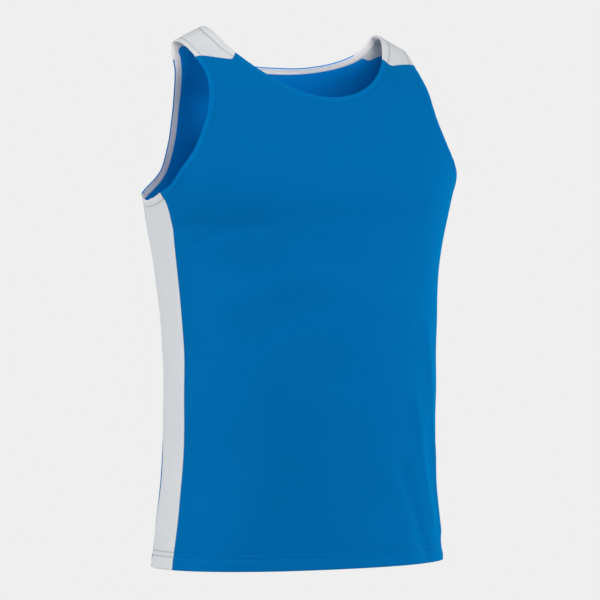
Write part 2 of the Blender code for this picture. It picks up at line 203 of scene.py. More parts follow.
# Softboxes: how far round from the camera, to its right, and how far up each stands, in
# degrees, and its power in watts
SOFTBOX_COLUMNS = ("name", "turn", "rise", "power")
SOFTBOXES = (
    ("front_low",     25,   0, 70),
    ("front_high",    20,  40, 42),
    ("left_high",    -75,  38, 53),
    ("left_low",     -71, -10, 47),
    ("left_behind", -126, -20, 36),
    ("right_high",    86,  35, 22),
    ("right_low",    105, -10, 26),
    ("right_behind", 133,  -8, 52),
)

# Bands: how far from a finished edge, a hem or a seam the rows of the mesh stand
TAPE_WIDTH = 10
TOPSTITCH_IN = 8        # the stitches beside the neck and the armholes
HEM_STITCHES = (16, 22)  # the hem's two rows, above its fold
HEM_DEPTH = 20          # the turned cloth ends between them
HEM_STEP = 1.2          # over this much cloth its end thins out
EDGE_STEP = 1.5         # the same at a turned neck or armhole edge
BAND_STEPS = (0, 0.12, 0.4, 0.85, 1.6, 2.8, 4.2, 5.6, 6.7, 7.4, 8, 8.6, 9.3, 10)
HEM_STEPS = (
    0, 0.15, 0.5, 1.1, 2, 3.5, 6, 8.5, 11, 13.5, 15, 15.6, 16, 16.4, 17, 19, 21, 21.6,
    22, 22.4, 23.2, 25,
)
SEAM_STEPS = (0, 0.35, 0.8, 1.5, 2.6, 4.2)
TAPE_STEPS = (0, 0.1, 0.35, 0.9, 2.2, 3.7, 5.2, 6.2, 6.7, 7.2, 8.4, 9.1, 9.4, 9.5)
NECK_TAPE_ROWS = 150    # rows across half of the neck's tape
ARM_TAPE_ROWS = 220     # rows across an armhole's tape over the shoulder
SIDE_TAPE_ROWS = 36     # rows across its part on the side panel
HALF_PANEL_WIDTH = 235  # cloth from a centre line to a side seam, which sets the columns
SIDE_PANEL_WIDTH = 88   # the same from one seam of a side panel to the other
STEP_TURN = 0.004       # small steps for slopes, in radians and in millimetres
STEP_DOWN = 0.5
FAR = 99                # stands for a distance at which an edge or a seam no longer tells

# Flat cut of what shows of each piece, in metres: places on it are worked out from the girth
# at the waist
WAIST_DOWN = 420.0
GIRTH_PLACES = 361      # half a degree apart

# Relief: widths and wavelengths of what the stitches and the making leave in the cloth
GROOVE_WIDTH = 0.75
SEAM_GROOVE_WIDTH = 1.1
# width of the painted shade beside a seam
SEAM_SHADE_WIDTH = 0.6
PUCKER_WAVE = 9
CLOTH_WAVE = 70
WAVE_COUNT = 14
WAVE_SPREAD = (0.7, 1.5)    # the shortest and the longest wave, as shares of the wavelength
FOLD_ROUNDING = 0.94    # share of half the thickness that each face drops at a fold
EDGE_PUFF_FROM = 0.8    # a turned edge swells from here inwards, and a hem from here up
HEM_PUFF_FROM = 1
HEM_PUFF = 1.2          # a hem swells this much more than an edge
PUCKER_ON_PUFF = 0.5    # how far the pucker varies the swelling and the grooves
PUCKER_ON_GROOVE = 0.35
PUCKER_TOP = 1.6        # a hem's pucker ends at this multiple of its upper stitches' height
HEM_HIGHLIGHT = 0.15       # how much of the double cloth's painted highlight the hem takes
HEM_HIGHLIGHT_FADE = 2     # over this much cloth below the end of the turned hem it comes in
PUCKER_SEED = 5
CLOTH_SEED = 11
STITCH_SEED = 4

# Tape and thread
TAPE_GAP = 0.03         # between the cloth's inner face and the tape
TAPE_DENT = 0.5         # share of a groove's depth that shows on the tape
THREAD_GAP = 0.02       # between the tape and the middle of its stitches
WEFT_PITCH = 0.0006     # of the tape's weave, along it and across it, in metres
WARP_PITCH = 0.0005
WEAVE_RELIEF = 0.0001
STITCH_UNEVENNESS = 0.08

# Knit: its courses and loops against its wales, and its relief in metres
COURSE_RATIO = 0.8
LOOP_LEAN = 0.45
LOOP_SHARE = 0.45
KNIT_RELIEF = 0.00012

# Looks of the two knits: the colours of the painted highlight on cloth that lies double and of
# the inner face, painted lighter for the light that reaches inside, of the gloss and of the fuzz,
# the gloss and fuzz themselves, and how much each pattern shows; knit, groove and seam are
# painted shade
BODY_LOOK = {
    "double": (0.0008, 0.165, 0.470),
    "inside": (0.001, 0.275, 0.745),
    "tint": (0.0, 0.35, 1.0),
    "fuzz": (0.0, 0.52, 1.0),
    "specular": 0.0, "sheen": 0.46, "roughness": 0.60, "bump": 0.35,
    "cloud": 0.05, "grain": 0.05, "knit": 0.10, "groove": 0.04, "seam": 0.18,
}
TRIM_LOOK = {
    "double": (0.725, 0.745, 0.77),
    "inside": (0.80, 0.80, 0.80),
    "tint": (0.9, 0.95, 1.0),
    "fuzz": (0.9, 0.95, 1.0),
    "specular": 0.25, "sheen": 0.10, "roughness": 0.64, "bump": 0.35,
    "cloud": 0.03, "grain": 0.03, "knit": 0.05, "groove": 0.38, "seam": 0.20,
}

# Floor: its mesh, its paint and how it fades, from a fifth of its radius out to its rim
FLOOR_SIDES = 96
FLOOR_RINGS = 12
FLOOR_COLOUR = (0.82, 0.82, 0.82)
FLOOR_FADE = 1.25


class SingletSizes(bpy.types.PropertyGroup):
    """Sizes of the cloth, its relief and its stitches"""

    cloth: FloatProperty(
        name="Cloth", description="Thickness of one layer of the knit",
        default=0.0009, min=0.0003, max=0.003, precision=5, unit="LENGTH",
    )
    edge: FloatProperty(
        name="Edge", description="Thickness of the turned neck and armhole edges",
        default=0.0016, min=0.0005, max=0.004, precision=5, unit="LENGTH",
    )
    hem: FloatProperty(
        name="Hem", description="Thickness of the turned hem",
        default=0.0019, min=0.0005, max=0.004, precision=5, unit="LENGTH",
    )
    tape: FloatProperty(
        name="Tape", description="Thickness of the tape inside the neck and armholes",
        default=0.0007, min=0.0003, max=0.002, precision=5, unit="LENGTH",
    )
    tape_inset: FloatProperty(
        name="Tape Inset", description="Rolled cloth left showing outside the tape",
        default=0.0011, min=0.0, max=0.004, precision=5, unit="LENGTH",
    )
    neck_tape_inset: FloatProperty(
        name="Neck Tape Inset", description="Cloth left showing above the tape in the neck",
        default=0.0009, min=0.0, max=0.004, precision=5, unit="LENGTH",
    )
    groove: FloatProperty(
        name="Groove", description="How deep the stitches pull into the cloth",
        default=0.00025, min=0.0, max=0.001, precision=5, unit="LENGTH",
    )
    puff: FloatProperty(
        name="Puff", description="How far a turned edge swells between its fold and stitches",
        default=0.0003, min=0.0, max=0.002, precision=5, unit="LENGTH",
    )
    pucker: FloatProperty(
        name="Pucker", description="Unevenness along the stitched edges",
        default=0.00014, min=0.0, max=0.001, precision=5, unit="LENGTH",
    )
    unevenness: FloatProperty(
        name="Unevenness", description="Soft unevenness of the whole sheet",
        default=0.0005, min=0.0, max=0.003, precision=5, unit="LENGTH",
    )
    cell: FloatProperty(
        name="Cell", description="Size of the mesh's cells on the open cloth",
        default=0.0031, min=0.002, max=0.02, precision=5, unit="LENGTH",
    )
    stitch_pitch: FloatProperty(
        name="Stitch Pitch", description="From one stitch to the next",
        default=0.0028, min=0.001, max=0.01, precision=5, unit="LENGTH",
    )
    stitch_length: FloatProperty(
        name="Stitch Length", description="Length of thread that shows in one stitch",
        default=0.0024, min=0.0005, max=0.01, precision=5, unit="LENGTH",
    )
    thread: FloatProperty(
        name="Thread", description="Thickness of the thread",
        default=0.0004, min=0.0001, max=0.001, precision=5, unit="LENGTH",
    )
    knit_pitch: FloatProperty(
        name="Knit Pitch", description="Width of one wale of the knit",
        default=0.0009, min=0.0004, max=0.004, precision=5, unit="LENGTH",
    )


class SingletColours(bpy.types.PropertyGroup):
    """Colours of the cloth and of the thread"""

    body: FloatVectorProperty(
        name="Body", description="Knit of the front and back panels",
        default=(0.0006, 0.143, 0.415), size=3, min=0, max=1, subtype="COLOR",
    )
    trim: FloatVectorProperty(
        name="Trim", description="Knit of the side panels and yokes",
        default=(0.70, 0.725, 0.755), size=3, min=0, max=1, subtype="COLOR",
    )
    tape: FloatVectorProperty(
        name="Tape", description="Tape inside the neck and armholes",
        default=(0.985, 0.955, 0.915), size=3, min=0, max=1, subtype="COLOR",
    )
    body_thread: FloatVectorProperty(
        name="Body Thread", description="Thread on the front and back panels",
        default=(0.002, 0.135, 0.42), size=3, min=0, max=1, subtype="COLOR",
    )
    # a white thread, painted mid grey to stand in for the shade of the groove that it lies in
    trim_thread: FloatVectorProperty(
        name="Trim Thread", description="Thread on the side panels and yokes",
        default=(0.50, 0.53, 0.56), size=3, min=0, max=1, subtype="COLOR",
    )
    tape_thread: FloatVectorProperty(
        name="Tape Thread", description="Thread on the tapes",
        default=(0.97, 0.94, 0.90), size=3, min=0, max=1, subtype="COLOR",
    )


class SingletStudio(bpy.types.PropertyGroup):
    """Camera, floor and light"""

    azimuth: FloatProperty(
        name="Azimuth", description="Where the camera stands round the singlet",
        default=np.radians(-30), subtype="ANGLE",
    )
    distance: FloatProperty(
        name="Distance", description="From the camera to the singlet",
        default=4.1, min=1, unit="LENGTH",
    )
    target: FloatVectorProperty(
        name="Target", description="The point that the camera is set on",
        default=(0, -0.0175, -0.3394), size=3, subtype="TRANSLATION", unit="LENGTH",
    )
    aside: FloatProperty(
        name="Aside", description="How far the camera is moved to its right",
        default=0.0041, precision=4, unit="LENGTH",
    )
    focal: FloatProperty(
        name="Focal Length", description="Lens, in millimetres, on a 36 mm sensor",
        default=191.2, min=20,
    )
    floor_drop: FloatProperty(
        name="Floor Drop", description="From the hem down to the floor",
        default=2.6, min=0, unit="LENGTH",
    )
    floor_radius: FloatProperty(
        name="Floor Radius", description="Where the floor has faded into the backdrop",
        default=2.6, min=0.5, unit="LENGTH",
    )
    backdrop: FloatProperty(
        name="Backdrop", description="Brightness of the backdrop", default=0.863, min=0,
    )
    ambient: FloatProperty(
        name="Ambient", description="Brightness of the light from all round",
        default=0.03, min=0,
    )
    light: FloatProperty(
        name="Light", description="Share of each softbox's power that is used",
        default=1.0, min=0,
    )
    light_distance: FloatProperty(
        name="Light Distance", description="From the softboxes to the singlet",
        default=3.6, min=1, unit="LENGTH",
    )
    light_size: FloatProperty(
        name="Light Size", description="Length of a softbox's side",
        default=1.6, min=0.1, unit="LENGTH",
    )


GROUPS = (
    ("singlet_sizes", SingletSizes),
    ("singlet_colours", SingletColours),
    ("singlet_studio", SingletStudio),
)


# ---------------------------------------------------------------- the sheet

def eased(share):
    """From 0 to 1 with a soft start and end."""
    return share * share * (3 - 2 * share)


def spline(knots, values, start_slope=None):
    """A cubic curve through the values, natural at its ends or with a given first slope."""
    knots = np.asarray(knots, float)
    values = np.asarray(values, float)
    gaps = np.diff(knots)
    rises = np.diff(values) / gaps
    system = np.zeros((len(knots), len(knots)))
    target = np.zeros(len(knots))
    system[0, :2] = (2, 1)
    target[0] = 3 * rises[0]
    if start_slope is not None:
        system[0, :2] = (1, 0)
        target[0] = start_slope
    system[-1, -2:] = (1, 2)
    target[-1] = 3 * rises[-1]
    for i in range(1, len(knots) - 1):
        system[i, i - 1] = 1 / gaps[i - 1]
        system[i, i] = 2 / gaps[i - 1] + 2 / gaps[i]
        system[i, i + 1] = 1 / gaps[i]
        target[i] = 3 * (rises[i - 1] / gaps[i - 1] + rises[i] / gaps[i])
    slopes = np.linalg.solve(system, target)

    def curve(at):
        at = np.asarray(at, float)
        i = np.clip(np.searchsorted(knots, at) - 1, 0, len(gaps) - 1)
        gap = gaps[i]
        t = (at - knots[i]) / gap
        bend_in = t * (1 - t) ** 2 * gap * slopes[i]
        bend_out = t * t * (t - 1) * gap * slopes[i + 1]
        return values[i] * (1 - eased(t)) + values[i + 1] * eased(t) + bend_in + bend_out

    return curve


def column(table, names, name):
    return [row[names.index(name)] for row in table]


def section_curves():
    """Each measure of the section as a curve over the cloth's length."""
    downs = column(SECTIONS, SECTION_COLUMNS, "down")
    return {
        name: spline(downs, column(SECTIONS, SECTION_COLUMNS, name), CROWN_SLOPES.get(name))
        for name in SECTION_COLUMNS[2:]
    }


def seam_curves():
    """The side seams' angles as curves over the cloth's length."""
    downs = column(SIDE_SEAM, SEAM_COLUMNS, "down")
    front = np.radians(column(SIDE_SEAM, SEAM_COLUMNS, "front"))
    back = np.radians(column(SIDE_SEAM, SEAM_COLUMNS, "back"))
    return {FRONT: spline(downs, front), BACK: spline(downs, back)}


def arm_curves():
    """How far out the armhole's edge stands, its corner taken from the side seam."""
    downs = column(ARM_EDGE, ARM_COLUMNS, "down") + [ARMHOLE_DOWN]
    curves = {}
    for half, name in HALVES:
        power = 2 / SECTION["square"](ARMHOLE_DOWN)
        share = np.sin(SIDE_SEAM_ANGLE[half](ARMHOLE_DOWN))
        corner = SECTION["front_width"](ARMHOLE_DOWN) * share ** power
        curves[half] = spline(downs, column(ARM_EDGE, ARM_COLUMNS, name) + [corner], 0)
    return curves


SECTION = section_curves()
SIDE_SEAM_ANGLE = seam_curves()
ARM_OUT = arm_curves()
HEM_DOWN = SECTIONS[-1][SECTION_COLUMNS.index("down")]
BAND_FOOT_DOWN = ARMHOLE_DOWN + TAPE_WIDTH


def signed_power(value, power):
    """The power of a number's size, with the number's sign."""
    return np.sign(value) * np.abs(value) ** power


def unit(vectors):
    return vectors / np.linalg.norm(vectors, axis=-1, keepdims=True)


def sheet_place(spots):
    """Half, angle and down of each spot."""
    return np.moveaxis(spots[..., :EDGE], -1, 0)


def of_half(half, curves, at):
    """The front's curve where half is the front, and the back's elsewhere."""
    return np.where(half < 0, curves[FRONT](at), curves[BACK](at))


def width_at(half, down):
    """The halves' own widths down to the armholes' corners, and the front's below them."""
    front = SECTION["front_width"](down)
    back = SECTION["back_width"](down)
    own = np.clip((ARMHOLE_DOWN - down) / WIDTHS_MEET, 0, 1)
    return np.where(half < 0, front, front + (back - front) * eased(own))


def swell(half, down):
    """How far the sheet stands before or behind its centre; odd in down, past the crown."""
    depth = np.abs(down)
    out = of_half(half, {FRONT: SECTION["front"], BACK: SECTION["back"]}, depth)
    return out * np.sign(down)


def form(half, angle, down):
    """The sheet before it is folded, in millimetres; it also runs a little past its edges."""
    depth = np.abs(down)
    power = 2 / SECTION["square"](depth)
    x = width_at(half, depth) * signed_power(np.sin(angle), power)
    y = SECTION["centre"](depth) + half * swell(half, down) * signed_power(np.cos(angle), power)
    lean = (x * x - CROWN_REFERENCE ** 2) / (2 * CROWN_REFERENCE)
    z = CROWN_RISE + SECTION["height"](depth) - SECTION["slope"](depth) * lean
    return np.stack([x, y, z], axis=-1)


def slopes(half, angle, down):
    """How the sheet moves for each radian of angle and each millimetre of cloth."""
    turned = form(half, angle + STEP_TURN, down) - form(half, angle - STEP_TURN, down)
    dropped = form(half, angle, down + STEP_DOWN) - form(half, angle, down - STEP_DOWN)
    return turned / (2 * STEP_TURN), dropped / (2 * STEP_DOWN)


def outward(half, angle, down):
    """The sheet's outward normal."""
    width = width_at(half, down)
    square = SECTION["square"](down)
    side_share = signed_power(np.sin(angle), 2 / square)
    ahead = np.abs(np.cos(angle)) ** (2 - 2 / square)
    aside = -half * swell(half, down) / width * signed_power(side_share, square - 1)
    fall = -SECTION["slope"](down) * width * side_share / CROWN_REFERENCE * ahead
    _turned, dropped = slopes(half, angle, down)
    across = np.stack([ahead, aside, fall], axis=-1)
    return unit(np.cross(across, dropped * half[..., None]))


def fold_rise(half, angle, down):
    """How far the folds and creases lift the sheet, in millimetres."""
    around = np.where(half < 0, angle, np.pi - angle)
    rise = np.zeros(np.shape(down))
    for row in FOLDS + CREASES:
        fold = dict(zip(FOLD_COLUMNS, row))
        middle = np.radians(fold["angle_1"] + fold["angle_2"]) / 2
        reach = np.radians(fold["angle_2"] - fold["angle_1"]) / 2 * FOLD_RADIUS
        run = np.array([2 * reach, fold["down_2"] - fold["down_1"]])
        length = np.linalg.norm(run)
        along = run / length
        aside = (around - middle + np.pi) % (2 * np.pi) - np.pi
        x = aside * FOLD_RADIUS + reach
        y = down - fold["down_1"]
        travel = x * along[0] + y * along[1]
        beyond = travel - np.clip(travel, 0, length)
        off = y * along[0] - x * along[1]
        spread = (off ** 2 + beyond ** 2) / fold["width"] ** 2
        rise = rise + fold["rise"] * np.exp(-spread)
    return rise


def ripple(points, wavelength, seed):
    """A soft unevenness over points in millimetres, mostly from -1 to 1."""
    draw = np.random.default_rng(seed)
    ways = unit(draw.normal(size=(WAVE_COUNT, 3)))
    lengths = wavelength * draw.uniform(*WAVE_SPREAD, WAVE_COUNT)
    phases = draw.uniform(0, 2 * np.pi, WAVE_COUNT)
    waves = np.sin(2 * np.pi * (points @ ways.T) / lengths + phases)
    return waves.sum(-1) / np.sqrt(WAVE_COUNT)


def bell(distance, width):
    """1 on a line and next to 0 a few widths away from it."""
    return np.exp(-(distance / width) ** 2)


def rounding(distance, thickness):
    """How far a wall's face drops towards its middle within half a thickness of its fold."""
    radius = thickness / 2
    inward = np.clip(radius - distance, 0, radius)
    return FOLD_ROUNDING * (radius - np.sqrt(radius ** 2 - inward ** 2))


def stitch_mask(edge, hem):
    """1 on the lines where the stitches pull the cloth in, and 0 away from them."""
    mask = bell(edge - TOPSTITCH_IN, GROOVE_WIDTH)
    for row in HEM_STITCHES:
        mask = np.maximum(mask, bell(hem - row, GROOVE_WIDTH))
    return mask


def arch(distance, start, end):
    """0 at both ends of a stretch and 1 in its middle."""
    return np.sin(np.pi * np.clip((distance - start) / (end - start), 0, 1))


def lifts(spots, sizes):
    """Outer and inner lift of the cloth off the plain sheet, in millimetres."""
    half, angle, down, edge, seam = np.moveaxis(spots, -1, 0)
    points = form(half, angle, down)
    hem = HEM_DOWN - down
    near_edge = np.clip((TAPE_WIDTH - edge) / EDGE_STEP, 0, 1)
    near_hem = np.clip((HEM_DEPTH + HEM_STEP / 2 - hem) / HEM_STEP, 0, 1)
    thick = (
        sizes.cloth
        + (sizes.edge - sizes.cloth) * near_edge
        + (sizes.hem - sizes.cloth) * near_hem
    ) / MM
    pucker = ripple(points, PUCKER_WAVE, PUCKER_SEED)
    banded = np.maximum(near_edge, np.clip(PUCKER_TOP - hem / HEM_STITCHES[1], 0, 1))
    puffed = arch(edge, EDGE_PUFF_FROM, TOPSTITCH_IN)
    puffed = puffed + HEM_PUFF * arch(hem, HEM_PUFF_FROM, HEM_STITCHES[0])
    outer = (
        fold_rise(half, angle, down)
        + sizes.unevenness / MM * ripple(points, CLOTH_WAVE, CLOTH_SEED)
        + sizes.puff / MM * puffed * (1 + PUCKER_ON_PUFF * pucker)
        - sizes.groove / MM * stitch_mask(edge, hem) * (1 + PUCKER_ON_GROOVE * pucker)
        - sizes.groove / MM * bell(seam, SEAM_GROOVE_WIDTH)
        + sizes.pucker / MM * pucker * banded
    )
    fold = rounding(edge, thick) + rounding(hem, thick)
    return outer - fold, outer - thick + fold


def places(spots, lift):
    """Where the spots are, in metres, lifted so many millimetres off the plain sheet."""
    place = sheet_place(spots)
    return MM * (form(*place) + outward(*place) * lift[..., None])


# ---------------------------------------------------------------- edges and rows

def angle_at(half, x, down):
    """The angle at which the section stands x out from the centre."""
    share = np.clip(x / width_at(half, down), -1, 1)
    return np.arcsin(signed_power(share, SECTION["square"](down) / 2))


def arm_edge(travel):
    """Half, angle and down along the armhole's edge on +X."""
    half = np.where(travel > 0, BACK, FRONT)
    down = np.abs(travel)
    return half, angle_at(half, of_half(half, ARM_OUT, down), down), down


def neck_edge(turn):
    """The same along the neck's edge; turn is 0 at the crown and -90 degrees in front."""
    half = np.where(turn > 0, BACK, FRONT)
    power = 2 / np.where(half < 0, NECK_SQUARE[FRONT], NECK_SQUARE[BACK])
    depth = np.where(half < 0, NECK_DOWN[FRONT], NECK_DOWN[BACK])
    down = depth * np.abs(np.sin(turn)) ** power
    out = NECK_HALF_WIDTH * signed_power(np.cos(turn), power)
    return half, angle_at(half, out, down), down


def neck_turn(half, down):
    """The turn at which the neck's edge lies so far down."""
    share = (down / NECK_DOWN[half]) ** (NECK_SQUARE[half] / 2)
    return half * np.arcsin(share)


def band(edge, at, step, hand):
    """(angle, travel) of an edge and of the line a tape's width inside it.

    hand is +1 where the cloth lies to the left of the way the edge runs, seen from outside.
    """
    half, angle, down = edge(at)
    along = unit(form(*edge(at + step)) - form(*edge(at - step)))
    reach = np.cross(outward(half, angle, down), along) * hand * TAPE_WIDTH
    turned, dropped = slopes(half, angle, down)
    tt = (turned * turned).sum(-1)
    td = (turned * dropped).sum(-1)
    dd = (dropped * dropped).sum(-1)
    rt = (reach * turned).sum(-1)
    rd = (reach * dropped).sum(-1)
    inner_angle = angle + (rt * dd - rd * td) / (tt * dd - td * td)
    inner_down = down + (rd * tt - rt * td) / (tt * dd - td * td)
    return (angle, down * half), (inner_angle, inner_down * half)


def arm_band(travels):
    """The armhole's band, squared off along the side seam at a corner."""
    outer, inner = band(arm_edge, travels, STEP_DOWN, 1)
    for end in (0, -1):
        if abs(travels[end]) == ARMHOLE_DOWN:
            half = int(np.sign(travels[end]))
            outer[0][end] = SIDE_SEAM_ANGLE[half](ARMHOLE_DOWN)
            inner[0][end] = SIDE_SEAM_ANGLE[half](BAND_FOOT_DOWN)
            inner[1][end] = half * BAND_FOOT_DOWN
    return outer, inner


def graded(length, cell, start=False, end=False):
    """Shares of a length: even steps, with closer ones beside a seam at its start or end."""
    low = SEAM_STEPS if start else (0,)
    high = SEAM_STEPS if end else (0,)
    count = int(np.ceil((length - low[-1] - high[-1]) / cell))
    middle = np.linspace(low[-1], length - high[-1], count + 1)
    steps = [*low[:-1], *middle, *(length - step for step in reversed(high[:-1]))]
    return np.array(steps) / length


def across_band(outer, inner, steps):
    """(angle, travel) columns at so many millimetres inside an edge."""
    share = np.asarray(steps) / TAPE_WIDTH
    return tuple(o[:, None] + (i - o)[:, None] * share for o, i in zip(outer, inner))


def between(start, end, share):
    """Straight rows of (angle, travel) from start to end."""
    share = np.broadcast_to(share, (len(start[0]), np.shape(share)[-1]))
    return tuple(a[:, None] + (b - a)[:, None] * share for a, b in zip(start, end))


def spots_at(angle, travel, edge=FAR):
    """Spots in the back half where travel is positive, and away from any seam."""
    half = np.where(travel > 0, BACK, FRONT)
    columns = np.broadcast_arrays(half, angle, np.abs(travel), edge, FAR)
    return np.stack(columns, axis=-1).astype(float)


def side_spots(downs, share, dip, edge):
    """Spots on the side panel on +X, at shares of its width from its front seam round."""
    start = SIDE_SEAM_ANGLE[FRONT](downs)
    end = np.pi - SIDE_SEAM_ANGLE[BACK](downs)
    around = start + (end - start) * share
    half = np.where(around > np.pi / 2, BACK, FRONT)
    angle = np.where(half == BACK, np.pi - around, around)
    down = downs + dip * np.sin(np.pi * share)
    columns = np.broadcast_arrays(half, angle, down, edge, FAR)
    return np.stack(columns, axis=-1).astype(float)


def seam_drop(half, share):
    """How much further down a yoke seam runs at each share of the strap, in millimetres."""
    spread = np.linspace(-YOKE_CORNER, YOKE_CORNER, CORNER_SAMPLES)
    seam = tuple(zip(*YOKE_SEAM[half]))
    drops = np.interp(share[..., None] + spread, *seam).mean(-1)
    at_neck = np.interp(spread, *seam).mean()
    at_arm = np.interp(1 + spread, *seam).mean()
    return drops - at_neck * (1 - share) - at_arm * share


def apart(spots, others):
    """Distances over the plain sheet between two sets of spots, in millimetres."""
    return np.linalg.norm(form(*sheet_place(spots)) - form(*sheet_place(others)), axis=-1)


class Rows:
    """The mesh's rows of spots, in millimetres, for cells of one size on the open cloth."""

    def __init__(self, cell):
        self.cell = cell
        self.across = graded(HALF_PANEL_WIDTH, cell, end=True)
        self.even = np.linspace(0, 1, len(self.across))
        self.from_edge = np.array(BAND_STEPS[:-1])
        self.to_edge = self.from_edge[::-1]
        self.bands = len(self.from_edge)

    def body_downs(self):
        """Cloth lengths of the level rows, from the hem up to the armhole's band."""
        top = HEM_DOWN - HEM_STEPS[-1]
        count = int(np.ceil((top - BAND_FOOT_DOWN) / self.cell))
        rows = np.linspace(top, BAND_FOOT_DOWN, count + 1)
        return np.concatenate([HEM_DOWN - np.array(HEM_STEPS), rows[1:]])

    def body(self, half):
        """Level rows from the centre line to the side seam."""
        downs = self.body_downs()
        seam = SIDE_SEAM_ANGLE[half](downs)
        rows = spots_at(*between((0 * downs, half * downs), (seam, half * downs), self.across))
        rows[..., SEAM] = apart(rows, rows[:, -1:])
        return rows

    def straps(self, turns, travels, front_share, back_share, across):
        """Rows from the neck's edge to the armhole's, bent towards the yoke seams' shapes."""
        neck, neck_inner = band(neck_edge, turns, STEP_TURN, -1)
        arm, arm_inner = arm_band(travels)
        neck_side = across_band(neck, neck_inner, self.from_edge)
        middle = between(neck_inner, arm_inner, across)
        arm_side = across_band(arm, arm_inner, self.to_edge)
        angle, travel = (np.concatenate(part, axis=1) for part in zip(neck_side, middle, arm_side))
        edge = np.full(angle.shape, float(FAR))
        edge[:, :self.bands] = self.from_edge
        edge[:, -self.bands:] = self.to_edge
        share = (angle - angle[:, :1]) / (angle[:, -1:] - angle[:, :1])
        for half, push in ((FRONT, front_share), (BACK, back_share)):
            travel = travel + half * seam_drop(half, share) * push[:, None]
        return spots_at(angle, travel, edge)

    def half_strap(self, half):
        """One strap from the neck's middle up to the yoke."""
        run = STRAP_FOOT_DOWN - YOKE_AT_ARM[half]
        share = graded(run, self.cell, end=True)
        top = neck_turn(half, YOKE_AT_NECK[half])
        turns = half * np.pi / 2 + (top - half * np.pi / 2) * share
        travels = half * (STRAP_FOOT_DOWN - run * share)
        none = 0 * share
        pushes = (share ** 2, none) if half == FRONT else (none, share ** 2)
        across = self.across + (self.even - self.across) * share[:, None]
        rows = self.straps(turns, travels, *pushes, across)
        down = rows[..., DOWN]
        rows[..., SEAM] = np.abs(down - down[-1:])
        return rows

    def yoke(self):
        """The yoke over the shoulder, from its front seam to its back one."""
        run = YOKE_AT_ARM[FRONT] + YOKE_AT_ARM[BACK]
        share = graded(run, self.cell, start=True, end=True)
        start, end = (neck_turn(half, YOKE_AT_NECK[half]) for half in (FRONT, BACK))
        turns = start + (end - start) * share
        travels = run * share - YOKE_AT_ARM[FRONT]
        front_share = np.clip(1 - 2 * share, 0, 1)
        back_share = np.clip(2 * share - 1, 0, 1)
        rows = self.straps(turns, travels, front_share, back_share, self.even)
        half, _angle, down = sheet_place(rows)
        travel = half * down
        rows[..., SEAM] = np.minimum(np.abs(travel - travel[:1]), np.abs(travel - travel[-1:]))
        return rows

    def chest(self, half, strap_foot):
        """Rows from the armhole's corner up to the neck; the top one runs along the straps."""
        run = BAND_FOOT_DOWN - NECK_DOWN[half] - TAPE_WIDTH
        share = graded(run, self.cell)
        travels = half * (ARMHOLE_DOWN + (STRAP_FOOT_DOWN - ARMHOLE_DOWN) * share)
        arm, arm_inner = arm_band(travels)
        centre = half * (BAND_FOOT_DOWN + (strap_foot[self.bands, DOWN] - BAND_FOOT_DOWN) * share)
        middle = between((0 * share, centre), arm_inner, self.across)
        side = across_band(arm, arm_inner, self.to_edge)
        angle, travel = (np.concatenate(part, axis=1) for part in zip(middle, side))
        edge = np.full(angle.shape, float(FAR))
        edge[:, -self.bands:] = self.to_edge
        rows = spots_at(angle, travel, edge)
        rows[-1] = strap_foot[self.bands:]
        on_seam = np.maximum(np.arange(rows.shape[1]), len(self.across) - 1)
        rows[..., SEAM] = apart(rows, rows[:1, on_seam])
        return rows

    def side(self):
        """A side panel on +X, from the hem up to its hollowed top edge."""
        downs = np.concatenate([self.body_downs(), ARMHOLE_DOWN + self.to_edge])[:, None]
        share = graded(SIDE_PANEL_WIDTH, self.cell, start=True, end=True)
        fade = np.clip(1 - (downs - BAND_FOOT_DOWN) / DIP_FADE, 0, 1)
        rows = side_spots(downs, share, UNDERARM_DIP * eased(fade), downs - ARMHOLE_DOWN)
        rows[..., SEAM] = np.minimum(apart(rows, rows[:, :1]), apart(rows, rows[:, -1:]))
        return rows


def on_side(rows, hand):
    """The rows of +X, or the same on -X, turned so that their faces still point out."""
    return rows if hand > 0 else (rows * MIRROR)[:, ::-1]


class Patch:
    """Quads over the sheet; spots that are given twice are shared."""

    def __init__(self):
        self.number = {}
        self.spots = []
        self.quads = []

    def vertex(self, spot):
        """The number of the spot's vertex, which is new where no spot was there."""
        key = tuple(round(value, SPOT_DIGITS) + 0.0 for value in spot[:EDGE])
        if key not in self.number:
            self.number[key] = len(self.spots)
            self.spots.append(spot)
        return self.number[key]

    def add(self, rows):
        numbers = [[self.vertex(spot) for spot in row] for row in rows.tolist()]
        for low, high in zip(numbers, numbers[1:]):
            self.quads += zip(low, low[1:], high[1:], high)

    def add_both(self, rows):
        for hand, _name in SIDES:
            self.add(on_side(rows, hand))

    def rim(self):
        """The edges that only one quad has, in its own order."""
        edges = {(quad[i - 1], quad[i]) for quad in self.quads for i in range(4)}
        return [(a, b) for a, b in sorted(edges) if (b, a) not in edges]


def panel_patch(rows, half):
    """The whole front or back: body, chest and both straps."""
    patch = Patch()
    strap = rows.half_strap(half)
    for part in (rows.body(half), rows.chest(half, strap[0]), strap):
        patch.add_both(part)
    return patch


def one_patch(rows):
    patch = Patch()
    patch.add(rows)
    return patch


def girth_table():
    """Angles round from the front's centre line, and how far round each lies at the waist."""
    angles = np.radians(np.linspace(0, 180, GIRTH_PLACES))
    half = np.where(angles > np.pi / 2, BACK, FRONT)
    points = form(half, np.minimum(angles, np.pi - angles), np.full(angles.shape, WAIST_DOWN))
    steps = np.linalg.norm(np.diff(points, axis=0), axis=-1)
    return angles, np.concatenate([[0], np.cumsum(steps)])


GIRTH_ANGLES, GIRTH_LENGTHS = girth_table()


def cut_place(spots):
    """Where each spot lies on the flat cut of its panel or tape, in metres."""
    half, angle, down = sheet_place(spots)
    across = np.sign(angle) * np.interp(np.abs(angle), GIRTH_ANGLES, GIRTH_LENGTHS)
    return MM * np.stack([across, half * down], axis=-1)


